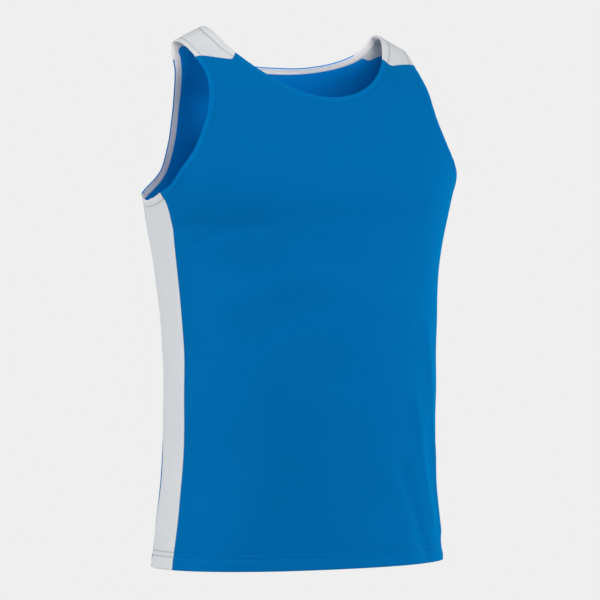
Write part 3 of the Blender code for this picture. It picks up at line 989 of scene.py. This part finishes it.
def side_cut_place(spots):
    """The same for a side panel, which runs on from the front half to the back one."""
    half, angle, down = sheet_place(spots)
    around = np.where(half < 0, np.abs(angle), np.pi - np.abs(angle))
    across = np.interp(around, GIRTH_ANGLES, GIRTH_LENGTHS)
    return MM * np.stack([across, -down], axis=-1)


# ---------------------------------------------------------------- node trees

class Link:
    """A node's output; sums and products of numbers add Math nodes."""

    def __init__(self, graph, socket):
        self.graph = graph
        self.socket = socket

    def other(self, name):
        """Another output of the same node."""
        return Link(self.graph, self.graph.find(self.socket.node.outputs, name))

    def maths(self, operation, *values, clamp=False):
        """The output of a Math node on these values."""
        settings = {"operation": operation, "use_clamp": clamp}
        return self.graph.add("ShaderNodeMath", settings, dict(enumerate(values)))

    def __add__(self, other):
        return self.maths("ADD", self, other)

    def __radd__(self, other):
        return self.maths("ADD", other, self)

    def __sub__(self, other):
        return self.maths("SUBTRACT", self, other)

    def __rsub__(self, other):
        return self.maths("SUBTRACT", other, self)

    def __mul__(self, other):
        return self.maths("MULTIPLY", self, other)

    def __rmul__(self, other):
        return self.maths("MULTIPLY", other, self)

    def __truediv__(self, other):
        return self.maths("DIVIDE", self, other)

    def sine(self):
        return self.maths("SINE", self)

    def size(self):
        return self.maths("ABSOLUTE", self)

    def clamped(self):
        return self.maths("ADD", self, 0, clamp=True)

    def saw(self):
        """Back and forth between 0 and 1 for each unit."""
        return self.maths("PINGPONG", self, 1)


class Graph:
    """A node tree that is written as calls, each with a node's type, settings and inputs."""

    def __init__(self, tree):
        self.tree = tree

    def find(self, sockets, key):
        """A socket by its place in the list or by its name."""
        if isinstance(key, int):
            return sockets[key]
        return next(s for s in sockets if s.name == key and s.enabled)

    def add(self, kind, settings=None, inputs=None, output=0):
        """A new node with its settings and then its inputs; gives the output that is named."""
        node = self.tree.nodes.new(kind)
        for name, value in (settings or {}).items():
            setattr(node, name, value)
        for key, value in (inputs or {}).items():
            self.give(self.find(node.inputs, key), value)
        return Link(self, self.find(node.outputs, output)) if node.outputs else node

    def give(self, socket, value):
        """A link or a plain value for a socket."""
        if isinstance(value, Link):
            self.tree.links.new(value.socket, socket)
        else:
            socket.default_value = value

    def blend(self, share, first, second):
        """From one colour to another as the share goes from 0 to 1."""
        settings = {"data_type": "RGBA"}
        return self.add("ShaderNodeMix", settings, {"Factor": share, "A": first, "B": second},
                        output="Result")

    def scaled(self, colour, share):
        """A colour that is made lighter or darker."""
        settings = {"operation": "SCALE"}
        vector = colour if isinstance(colour, Link) else tuple(colour)
        return self.add("ShaderNodeVectorMath", settings, {"Vector": vector, "Scale": share})

    def own(self, name):
        """A number that the piece carries at each of its points."""
        return self.add("ShaderNodeAttribute", {"attribute_name": name}, output="Fac")


def cleared(tree):
    """The graph of a tree whose own nodes are taken out."""
    tree.nodes.clear()
    return Graph(tree)


def rgba(colour):
    return (*colour, 1.0)


def new_material(name, shade):
    """A material whose surface is what shade adds to its graph."""
    material = bpy.data.materials.new(name)
    material.use_nodes = True
    graph = cleared(material.node_tree)
    graph.add("ShaderNodeOutputMaterial", inputs={"Surface": shade(graph)})
    return material


def knit_material(name, colour, pitch, look):
    """A fine knit: wales and courses in relief, with painted shade between them, and uneven dye.

    It is painted lighter where it lies double, as a highlight, and on its inner face, standing in
    for the light that reaches inside; along its stitches and seams it is painted darker, as shade.
    """

    def shade(graph):
        place = graph.add("ShaderNodeUVMap", {"uv_map": "cut"})
        across = graph.add("ShaderNodeSeparateXYZ", inputs={"Vector": place})
        wales = across / pitch
        courses = across.other("Y") / (COURSE_RATIO * pitch)
        rib = (wales * np.pi).sine().size()
        loops = ((courses + LOOP_LEAN * wales.saw()) * np.pi).sine().size()
        relief = rib * ((1 - LOOP_SHARE) + LOOP_SHARE * loops)
        spot = graph.add("ShaderNodeTexCoord", output="Object")
        cloud = graph.add("ShaderNodeTexNoise", inputs={
            "Vector": spot, "Scale": 9.0, "Detail": 3.0, "Roughness": 0.5,
        })
        grain = graph.add("ShaderNodeTexNoise", inputs={
            "Vector": spot, "Scale": 420.0, "Detail": 2.0, "Roughness": 0.6,
        })
        tone = (
            1.0
            + look["cloud"] * (cloud - 0.5)
            + look["grain"] * (grain - 0.5)
            # painted shade between the wales and loops
            + look["knit"] * (relief - 0.5)
            # painted shade in the stitches' grooves and beside the seams
            - look["groove"] * graph.own("stitched")
            - look["seam"] * graph.own("seam_shade")
        )
        # painted highlight: lighter where the cloth lies double
        outer = graph.blend(graph.own("double"), rgba(colour), rgba(look["double"]))
        # the inner face painted lighter, standing in for the light that reaches inside
        base = graph.blend(graph.own("inside"), outer, rgba(look["inside"]))
        bump = graph.add("ShaderNodeBump", inputs={
            "Strength": look["bump"], "Distance": KNIT_RELIEF, "Height": relief + 0.35 * grain,
        })
        rough = look["roughness"] + 0.10 * (cloud - 0.5) - 0.08 * (relief - 0.5)
        return graph.add("ShaderNodeBsdfPrincipled", inputs={
            "Base Color": graph.scaled(base, tone),
            "Roughness": rough,
            "Specular IOR Level": look["specular"],
            "Specular Tint": rgba(look["tint"]),
            "Sheen Weight": look["sheen"],
            "Sheen Roughness": 0.45,
            "Sheen Tint": rgba(look["fuzz"]),
            "Normal": bump,
        })

    return new_material(name, shade)


def tape_material(name, colour):
    """A close flat weave with fine ribs."""

    def shade(graph):
        place = graph.add("ShaderNodeUVMap", {"uv_map": "cut"})
        across = graph.add("ShaderNodeSeparateXYZ", inputs={"Vector": place})
        rib = (across.other("Y") * (np.pi / WEFT_PITCH)).sine().size()
        warp = (across * (np.pi / WARP_PITCH)).sine().size()
        grain = graph.add("ShaderNodeTexNoise", inputs={
            "Vector": graph.add("ShaderNodeTexCoord", output="Object"),
            "Scale": 300.0, "Detail": 2.0,
        })
        # darker along the stitches: painted shade in their dent
        tone = 0.97 + 0.04 * rib + 0.05 * (grain - 0.5) - 0.03 * graph.own("stitched")
        bump = graph.add("ShaderNodeBump", inputs={
            "Strength": 0.35, "Distance": WEAVE_RELIEF, "Height": rib + 0.6 * warp,
        })
        return graph.add("ShaderNodeBsdfPrincipled", inputs={
            "Base Color": graph.scaled(colour, tone),
            "Roughness": 0.72 - 0.06 * rib,
            "Specular IOR Level": 0.25,
            "Sheen Weight": 0.05,
            "Normal": bump,
        })

    return new_material(name, shade)


def thread_material(name, colour):
    """Twisted polyester thread."""

    def shade(graph):
        spot = graph.add("ShaderNodeTexCoord", output="Object")
        twist = graph.add("ShaderNodeTexWave", inputs={
            "Vector": spot, "Scale": 900.0, "Distortion": 1.5, "Detail": 1.0,
        }, output="Fac")
        tone = 0.92 + 0.14 * twist
        bump = graph.add("ShaderNodeBump", inputs={
            "Strength": 0.4, "Distance": 0.00005, "Height": twist,
        })
        return graph.add("ShaderNodeBsdfPrincipled", inputs={
            "Base Color": graph.scaled(colour, tone),
            "Roughness": 0.5 + 0.1 * twist,
            "Specular IOR Level": 0.2,
            "Specular Tint": rgba(colour),
            "Normal": bump,
        })

    return new_material(name, shade)


# ---------------------------------------------------------------- pieces of cloth

def add_point_value(mesh, name, values):
    """A number for each of the mesh's points, which its material reads."""
    layer = mesh.attributes.new(name, "FLOAT", "POINT")
    layer.data.foreach_set("value", np.asarray(values, np.float32))


def add_shell(name, patch, outer, inner, material, marks, cut):
    """A closed wall over a patch, between two lifts, with what its material reads."""
    spots = np.array(patch.spots)
    count = len(spots)
    faces = list(patch.quads)
    faces += [tuple(count + corner for corner in reversed(quad)) for quad in patch.quads]
    faces += [(b, a, count + a, count + b) for a, b in patch.rim()]
    vertices = np.concatenate([places(spots, outer), places(spots, inner)])
    mesh = bpy.data.meshes.new(name)
    mesh.from_pydata(vertices.tolist(), [], faces)
    wall = bmesh.new()
    wall.from_mesh(mesh)
    bmesh.ops.recalc_face_normals(wall, faces=wall.faces)
    wall.to_mesh(mesh)
    wall.free()
    mesh.shade_smooth()
    corners = np.zeros(len(mesh.loops), np.int32)
    mesh.loops.foreach_get("vertex_index", corners)
    on_cut = np.tile(cut(spots), (2, 1))[corners]
    mesh.uv_layers.new(name="cut").data.foreach_set("uv", on_cut.astype(np.float32).ravel())
    for key, values in marks.items():
        add_point_value(mesh, key, np.tile(values, 2))
    # marks the inner face, which the knit paints lighter to stand in for the light inside
    add_point_value(mesh, "inside", np.repeat((0, 1), count))
    mesh.materials.append(material)
    piece = bpy.data.objects.new(name, mesh)
    bpy.context.scene.collection.objects.link(piece)
    return piece


def cloth_marks(spots):
    """What the knit's material reads at each spot."""
    down, edge, seam = spots[:, DOWN:].T
    hem = HEM_DOWN - down
    # share of the painted highlight: full on the doubled edges, a little on the hem
    double = np.maximum(
        np.clip(1 - edge / TAPE_WIDTH, 0, 1),
        np.clip((HEM_DEPTH - hem) / HEM_HIGHLIGHT_FADE, 0, 1) * HEM_HIGHLIGHT,
    )
    return {
        "double": double,
        # where the stitches and seams get painted shade
        "stitched": stitch_mask(edge, hem),
        "seam_shade": bell(seam, SEAM_SHADE_WIDTH),
    }


def declare_cloth(piece, patch, node):
    """Attaches the piece to the body and hides the CAD part that it stands for."""
    points = form(*sheet_place(np.array(patch.spots)))
    quads = np.array(patch.quads)
    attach(piece, BODY)
    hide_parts(node)


def add_cloth(node, patch, material, sizes, cut=cut_place):
    """The cloth of one CAD node, as a closed wall laid out on its flat cut."""
    spots = np.array(patch.spots)
    outer, inner = lifts(spots, sizes)
    piece = add_shell(node + "_cloth", patch, outer, inner, material, cloth_marks(spots), cut)
    declare_cloth(piece, patch, node)


def shared_material(name, make, *given):
    """The material of that name, made the first time that it is wanted."""
    return bpy.data.materials.get(name) or make(name, *given)


def body_knit(scene):
    pitch = scene.singlet_sizes.knit_pitch
    colour = scene.singlet_colours.body
    return shared_material("royal_blue_knit", knit_material, colour, pitch, BODY_LOOK)


def trim_knit(scene):
    pitch = scene.singlet_sizes.knit_pitch
    colour = scene.singlet_colours.trim
    return shared_material("white_knit", knit_material, colour, pitch, TRIM_LOOK)


def tape_weave(scene):
    return shared_material("inner_tape_weave", tape_material, scene.singlet_colours.tape)


# ---------------------------------------------------------------- tapes

def tape_steps(inset):
    """How far inside the edge each column of a tape stands."""
    return inset / MM + np.array(TAPE_STEPS)


def neck_tape_rows(steps):
    """Rows along the neck's edge on +X, from the front's centre line to the back's."""
    turns = np.linspace(-np.pi / 2, np.pi / 2, NECK_TAPE_ROWS)
    angle, travel = across_band(*band(neck_edge, turns, STEP_TURN, -1), steps)
    return spots_at(angle, travel, steps)


def arm_tape_rows(steps):
    """Rows along the armhole on +X, from the front corner over the shoulder to the back."""
    travels = np.linspace(-ARMHOLE_DOWN, ARMHOLE_DOWN, ARM_TAPE_ROWS)
    angle, travel = across_band(*arm_band(travels), steps)
    return spots_at(angle, travel, steps)


def side_tape_rows(steps):
    """Rows along the side panel's top edge, from the back corner to the front one."""
    share = np.linspace(0, 1, SIDE_TAPE_ROWS)[::-1, None]
    return side_spots(ARMHOLE_DOWN + steps, share, UNDERARM_DIP, steps)


def tape_lifts(spots, steps, sizes, stitched):
    """The tape's two lifts: it lies against the cloth's inner face, its edges rounded."""
    _outer, inner = lifts(spots, sizes)
    thickness = sizes.tape / MM
    profile = rounding(np.minimum(steps - steps[0], steps[-1] - steps), thickness)
    close = np.interp(spots[:, EDGE], steps, profile)
    dent = TAPE_DENT * sizes.groove / MM * stitched
    return inner - TAPE_GAP - close, inner - TAPE_GAP - thickness + close + dent


def add_tape(node, patch, steps, scene):
    """The tape of one CAD node, as a closed wall laid out on its flat cut."""
    spots = np.array(patch.spots)
    stitched = bell(spots[:, EDGE] - TOPSTITCH_IN, GROOVE_WIDTH)
    outer, inner = tape_lifts(spots, steps, scene.singlet_sizes, stitched)
    marks = {"stitched": stitched}
    piece = add_shell(node + "_cloth", patch, outer, inner, tape_weave(scene), marks, cut_place)
    declare_cloth(piece, patch, node)


# ---------------------------------------------------------------- stitches

def stitch_tree():
    """Geometry nodes that lay a row of stitches along each line of edges."""
    tree = bpy.data.node_groups.new("stitch_rows", "GeometryNodeTree")
    face = tree.interface
    face.new_socket("Geometry", in_out="INPUT", socket_type="NodeSocketGeometry")
    for name in ("Pitch", "Stitch Length", "Thread"):
        socket = face.new_socket(name, in_out="INPUT", socket_type="NodeSocketFloat")
        socket.subtype = "DISTANCE"
        socket.default_value = MM
    face.new_socket("Unevenness", in_out="INPUT", socket_type="NodeSocketFloat")
    face.new_socket("Thread Material", in_out="INPUT", socket_type="NodeSocketMaterial")
    face.new_socket("Geometry", in_out="OUTPUT", socket_type="NodeSocketGeometry")
    graph = Graph(tree)
    given = graph.add("NodeGroupInput")
    lines = graph.add("GeometryNodeMeshToCurve", inputs={"Mesh": given})
    points = graph.add("GeometryNodeResampleCurve", {"mode": "LENGTH"}, {
        "Curve": lines, "Length": given.other("Pitch"),
    })
    out = graph.add("GeometryNodeInputNamedAttribute", {"data_type": "FLOAT_VECTOR"}, {
        "Name": "out",
    }, output="Attribute")
    turn = graph.add("FunctionNodeAxesToRotation", {
        "primary_axis": "X", "secondary_axis": "Z",
    }, {
        "Primary Axis": graph.add("GeometryNodeInputTangent"), "Secondary Axis": out,
    })
    loose = given.other("Unevenness")
    vary = graph.add("FunctionNodeRandomValue", {"data_type": "FLOAT"}, {
        "Min": 1.0 - loose, "Max": 1.0 + loose, "Seed": STITCH_SEED,
    }, output="Value")
    thread = given.other("Thread")
    shape = graph.add("ShaderNodeCombineXYZ", inputs={
        "X": given.other("Stitch Length") * vary, "Y": thread, "Z": thread,
    })
    stitch = graph.add("GeometryNodeMeshUVSphere", inputs={
        "Segments": 6, "Rings": 5, "Radius": 0.5,
    })
    rows = graph.add("GeometryNodeInstanceOnPoints", inputs={
        "Points": points, "Instance": stitch, "Rotation": turn, "Scale": shape,
    })
    real = graph.add("GeometryNodeRealizeInstances", inputs={"Geometry": rows})
    smooth = graph.add("GeometryNodeSetShadeSmooth", inputs={"Geometry": real})
    done = graph.add("GeometryNodeSetMaterial", inputs={
        "Geometry": smooth, "Material": given.other("Thread Material"),
    })
    graph.add("NodeGroupOutput", inputs={"Geometry": done})
    return tree


def line_mesh(name, lines):
    """A mesh of open lines, each a list of places and of the directions that face out."""
    mesh = bpy.data.meshes.new(name)
    vertices = []
    edges = []
    outs = []
    for places_along, directions in lines:
        start = len(vertices)
        vertices += places_along.tolist()
        outs += directions.tolist()
        edges += [(start + i, start + i + 1) for i in range(len(places_along) - 1)]
    mesh.from_pydata(vertices, edges, [])
    layer = mesh.attributes.new("out", "FLOAT_VECTOR", "POINT")
    layer.data.foreach_set("vector", np.array(outs, np.float32).ravel())
    return mesh


def stitch_lines(paths, sizes, face):
    """Places and directions of stitch paths on the cloth's outer (+1) or inner (-1) face.

    Each path comes with how far under the inner face its stitches lie.
    """
    lines = []
    for spots, under in paths:
        outer, inner = lifts(spots, sizes)
        lift = outer if face > 0 else inner - under
        lines.append((places(spots, lift), face * outward(*sheet_place(spots))))
    return lines


def add_stitches(name, paths, face, material, slot, sizes):
    """Lays stitches along paths of spots and keeps the result as a plain mesh."""
    mesh = line_mesh(name, stitch_lines(paths, sizes, face))
    guide = bpy.data.objects.new(name + "_guide", mesh)
    bpy.context.scene.collection.objects.link(guide)
    tree = bpy.data.node_groups.get("stitch_rows") or stitch_tree()
    modifier = guide.modifiers.new("stitches", "NODES")
    modifier.node_group = tree
    values = {
        "Pitch": sizes.stitch_pitch, "Stitch Length": sizes.stitch_length,
        "Thread": sizes.thread, "Unevenness": STITCH_UNEVENNESS, "Thread Material": material,
    }
    for item in tree.interface.items_tree:
        if item.in_out == "INPUT" and item.name in values:
            modifier[item.identifier] = values[item.name]
    graph = bpy.context.evaluated_depsgraph_get()
    made = bpy.data.meshes.new_from_object(guide.evaluated_get(graph))
    bpy.data.objects.remove(guide)
    made.name = name
    if not made.polygons:
        raise RuntimeError(name + " has no stitches")
    piece = bpy.data.objects.new(name, made)
    bpy.context.scene.collection.objects.link(piece)
    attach(piece, BODY)


def both_sides(paths):
    """The paths of +X and the same on -X."""
    return [(on, under) for spots, under in paths for on in (spots, spots * MIRROR)]


def edge_paths(rows):
    """Stitch lines beside the neck and armholes on +X, as body ones and trim ones."""
    step = BAND_STEPS.index(TOPSTITCH_IN)
    body = []
    for half, _name in HALVES:
        strap = rows.half_strap(half)
        chest = rows.chest(half, strap[0])
        body.append(strap[:, step])
        body.append(np.concatenate([chest[:-1, -1 - step], strap[:, -1 - step]]))
    yoke = rows.yoke()
    trim = [yoke[:, step], yoke[:, -1 - step], rows.side()[-1 - step]]
    return body, trim


def hem_paths(rows):
    """The hem's stitch lines on +X, as body ones and trim ones."""
    body = []
    trim = []
    for distance in HEM_STITCHES:
        row = HEM_STEPS.index(distance)
        body += [rows.body(half)[row] for half, _name in HALVES]
        trim.append(rows.side()[row])
    return body, trim


# ---------------------------------------------------------------- operators

def mesh_rows(context):
    return Rows(context.scene.singlet_sizes.cell / MM)


class SINGLET_OT_panels(bpy.types.Operator):
    """Make the front and the back panel"""

    bl_idname = "singlet.panels"
    bl_label = "Front and Back Panels"

    def execute(self, context):
        rows = mesh_rows(context)
        sizes = context.scene.singlet_sizes
        for half, name in HALVES:
            add_cloth(name + "_panel", panel_patch(rows, half), body_knit(context.scene), sizes)
        return {"FINISHED"}


class SINGLET_OT_side_panels(bpy.types.Operator):
    """Make the two side panels"""

    bl_idname = "singlet.side_panels"
    bl_label = "Side Panels"

    def execute(self, context):
        rows = mesh_rows(context).side()
        sizes = context.scene.singlet_sizes
        for hand, side in SIDES:
            patch = one_patch(on_side(rows, hand))
            add_cloth("side_panel_" + side, patch, trim_knit(context.scene), sizes,
                      side_cut_place)
        return {"FINISHED"}


class SINGLET_OT_yokes(bpy.types.Operator):
    """Make the two shoulder yokes"""

    bl_idname = "singlet.yokes"
    bl_label = "Shoulder Yokes"

    def execute(self, context):
        rows = mesh_rows(context).yoke()
        sizes = context.scene.singlet_sizes
        for hand, side in SIDES:
            patch = one_patch(on_side(rows, hand))
            add_cloth("shoulder_yoke_" + side, patch, trim_knit(context.scene), sizes)
        return {"FINISHED"}


class SINGLET_OT_tapes(bpy.types.Operator):
    """Make the tapes inside the neck and the armholes"""

    bl_idname = "singlet.tapes"
    bl_label = "Inner Tapes"

    def execute(self, context):
        sizes = context.scene.singlet_sizes
        steps = tape_steps(sizes.neck_tape_inset)
        patch = Patch()
        patch.add_both(neck_tape_rows(steps))
        add_tape("neck_tape", patch, steps, context.scene)
        steps = tape_steps(sizes.tape_inset)
        for hand, side in SIDES:
            patch = Patch()
            for rows in (arm_tape_rows(steps), side_tape_rows(steps)):
                patch.add(on_side(rows, hand))
            add_tape("armhole_tape_" + side, patch, steps, context.scene)
        return {"FINISHED"}


class SINGLET_OT_stitches(bpy.types.Operator):
    """Sew the edges and the hem with rows of stitches"""

    bl_idname = "singlet.stitches"
    bl_label = "Stitches"

    def execute(self, context):
        rows = mesh_rows(context)
        sizes = context.scene.singlet_sizes
        colours = context.scene.singlet_colours
        blue = thread_material("blue_thread", colours.body_thread)
        white = thread_material("white_thread", colours.trim_thread)
        pale = thread_material("tape_thread", colours.tape_thread)
        under = sizes.tape / MM + THREAD_GAP
        edge_body, edge_trim = edge_paths(rows)
        hem_body, hem_trim = hem_paths(rows)
        outside = (
            ("edge_stitches_body", edge_body, blue, BODY_SLOT),
            ("edge_stitches_trim", edge_trim, white, TRIM_SLOT),
            ("hem_stitches_body", hem_body, blue, BODY_SLOT),
            ("hem_stitches_trim", hem_trim, white, TRIM_SLOT),
        )
        for name, paths, thread, slot in outside:
            add_stitches(name, both_sides([(path, 0) for path in paths]), 1, thread, slot, sizes)
        inside = both_sides([(path, under) for path in edge_body + edge_trim])
        add_stitches("tape_stitches", inside, -1, pale, TRIM_SLOT, sizes)
        return {"FINISHED"}


def area_light(name, place, target, size, power):
    """A square softbox that faces the target."""
    light = bpy.data.lights.new(name, "AREA")
    light.size = size
    light.energy = power
    lamp = bpy.data.objects.new(name, light)
    lamp.location = place
    lamp.rotation_euler = (target - place).to_track_quat("-Z", "Y").to_euler()
    bpy.context.scene.collection.objects.link(lamp)


class SINGLET_OT_stage(bpy.types.Operator):
    """Make the floor, the backdrop, the lights and the camera"""

    bl_idname = "singlet.stage"
    bl_label = "Stage"

    def execute(self, context):
        scene = context.scene
        studio = scene.singlet_studio
        target = Vector(studio.target)
        back = Vector((np.sin(studio.azimuth), -np.cos(studio.azimuth), 0))
        aside = Vector((np.cos(studio.azimuth), np.sin(studio.azimuth), 0))
        self.camera(scene, studio, target, back, aside)
        self.floor(scene, studio, target)
        self.world(scene, studio)
        for row in SOFTBOXES:
            softbox = dict(zip(SOFTBOX_COLUMNS, row))
            turn, rise = np.radians((softbox["turn"], softbox["rise"]))
            level = back * np.cos(turn) + aside * np.sin(turn)
            way = level * np.cos(rise) + Vector((0, 0, np.sin(rise)))
            area_light(softbox["name"], target + way * studio.light_distance, target,
                       studio.light_size, softbox["power"] * studio.light)
        scene.view_settings.view_transform = "Standard"
        scene.view_settings.look = "None"
        return {"FINISHED"}

    def camera(self, scene, studio, target, back, aside):
        """A level camera that faces the target, moved a little to its right."""
        data = bpy.data.cameras.new("camera")
        data.lens = studio.focal
        data.sensor_width = 36
        data.clip_end = 100
        camera = bpy.data.objects.new("camera", data)
        camera.location = target + back * studio.distance + aside * studio.aside
        camera.rotation_euler = (-back).to_track_quat("-Z", "Y").to_euler()
        scene.collection.objects.link(camera)
        scene.camera = camera

    def floor(self, scene, studio, target):
        """A pale round floor that fades into the backdrop at its rim."""
        height = CAD_BOX[0].z - studio.floor_drop
        centre = (target.x, target.y, height)
        vertices = [centre]
        for ring in range(1, FLOOR_RINGS + 1):
            radius = studio.floor_radius * ring / FLOOR_RINGS
            for step in range(FLOOR_SIDES):
                turn = 2 * np.pi * step / FLOOR_SIDES
                x = target.x + radius * np.cos(turn)
                y = target.y + radius * np.sin(turn)
                vertices.append((x, y, height))
        faces = [(0, 1 + step, 1 + (step + 1) % FLOOR_SIDES) for step in range(FLOOR_SIDES)]
        for low in range(1, 1 + (FLOOR_RINGS - 1) * FLOOR_SIDES, FLOOR_SIDES):
            high = low + FLOOR_SIDES
            for step in range(FLOOR_SIDES):
                after = (step + 1) % FLOOR_SIDES
                faces.append((low + step, high + step, high + after, low + after))
        mesh = bpy.data.meshes.new("floor")
        mesh.from_pydata(vertices, [], faces)
        mesh.materials.append(self.floor_material(studio, target))
        floor = bpy.data.objects.new("floor", mesh)
        scene.collection.objects.link(floor)

    def floor_material(self, studio, target):
        """Pale paint that turns see-through towards the rim."""

        def shade(graph):
            spot = graph.add("ShaderNodeTexCoord", output="Object")
            flat = graph.add("ShaderNodeVectorMath", {"operation": "MULTIPLY"}, {
                0: spot, 1: (1, 1, 0),
            })
            away = graph.add("ShaderNodeVectorMath", {"operation": "DISTANCE"}, {
                0: flat, 1: (target.x, target.y, 0),
            }, output="Value")
            fade = (FLOOR_FADE - FLOOR_FADE * away / studio.floor_radius).clamped()
            paint = graph.add("ShaderNodeBsdfPrincipled", inputs={
                "Base Color": rgba(FLOOR_COLOUR), "Roughness": 0.85, "Specular IOR Level": 0.1,
            })
            return graph.add("ShaderNodeMixShader", inputs={
                0: fade, 1: graph.add("ShaderNodeBsdfTransparent"), 2: paint,
            })

        return new_material("pale_floor", shade)

    def world(self, scene, studio):
        """The camera sees the backdrop, and everything else the light from all round."""
        world = bpy.data.worlds.new("studio")
        world.use_nodes = True
        graph = cleared(world.node_tree)
        seen = graph.add("ShaderNodeLightPath", output="Is Camera Ray")
        light = graph.add("ShaderNodeBackground", inputs={
            "Color": (1, 1, 1, 1), "Strength": studio.ambient,
        })
        shown = graph.add("ShaderNodeBackground", inputs={
            "Color": rgba([studio.backdrop] * 3), "Strength": 1.0,
        })
        mixed = graph.add("ShaderNodeMixShader", inputs={0: seen, 1: light, 2: shown})
        graph.add("ShaderNodeOutputWorld", inputs={"Surface": mixed})
        scene.world = world


OPERATORS = (
    SINGLET_OT_panels,
    SINGLET_OT_side_panels,
    SINGLET_OT_yokes,
    SINGLET_OT_tapes,
    SINGLET_OT_stitches,
    SINGLET_OT_stage,
)


class SINGLET_PT_maker(bpy.types.Panel):
    """Lists the singlet's pieces, sizes, colours and studio"""

    bl_idname = "SINGLET_PT_maker"
    bl_label = "Running Singlet"
    bl_space_type = "VIEW_3D"
    bl_region_type = "UI"
    bl_category = "Singlet"

    def draw(self, context):
        layout = self.layout
        for operator in OPERATORS:
            layout.operator(operator.bl_idname)
        for name, group in GROUPS:
            box = layout.box()
            box.label(text=group.__doc__)
            for key in group.__annotations__:
                box.prop(getattr(context.scene, name), key)


CLASSES = tuple(group for _name, group in GROUPS) + OPERATORS + (SINGLET_PT_maker,)


def register():
    for item in CLASSES:
        bpy.utils.register_class(item)
    for name, group in GROUPS:
        setattr(bpy.types.Scene, name, PointerProperty(type=group))


def unregister():
    for name, _group in GROUPS:
        delattr(bpy.types.Scene, name)
    for item in reversed(CLASSES):
        bpy.utils.unregister_class(item)


def main():
    register()
    bpy.ops.singlet.panels()
    bpy.ops.singlet.side_panels()
    bpy.ops.singlet.yokes()
    bpy.ops.singlet.tapes()
    bpy.ops.singlet.stitches()
    bpy.ops.singlet.stage()


if __name__ == "__main__":
    main()
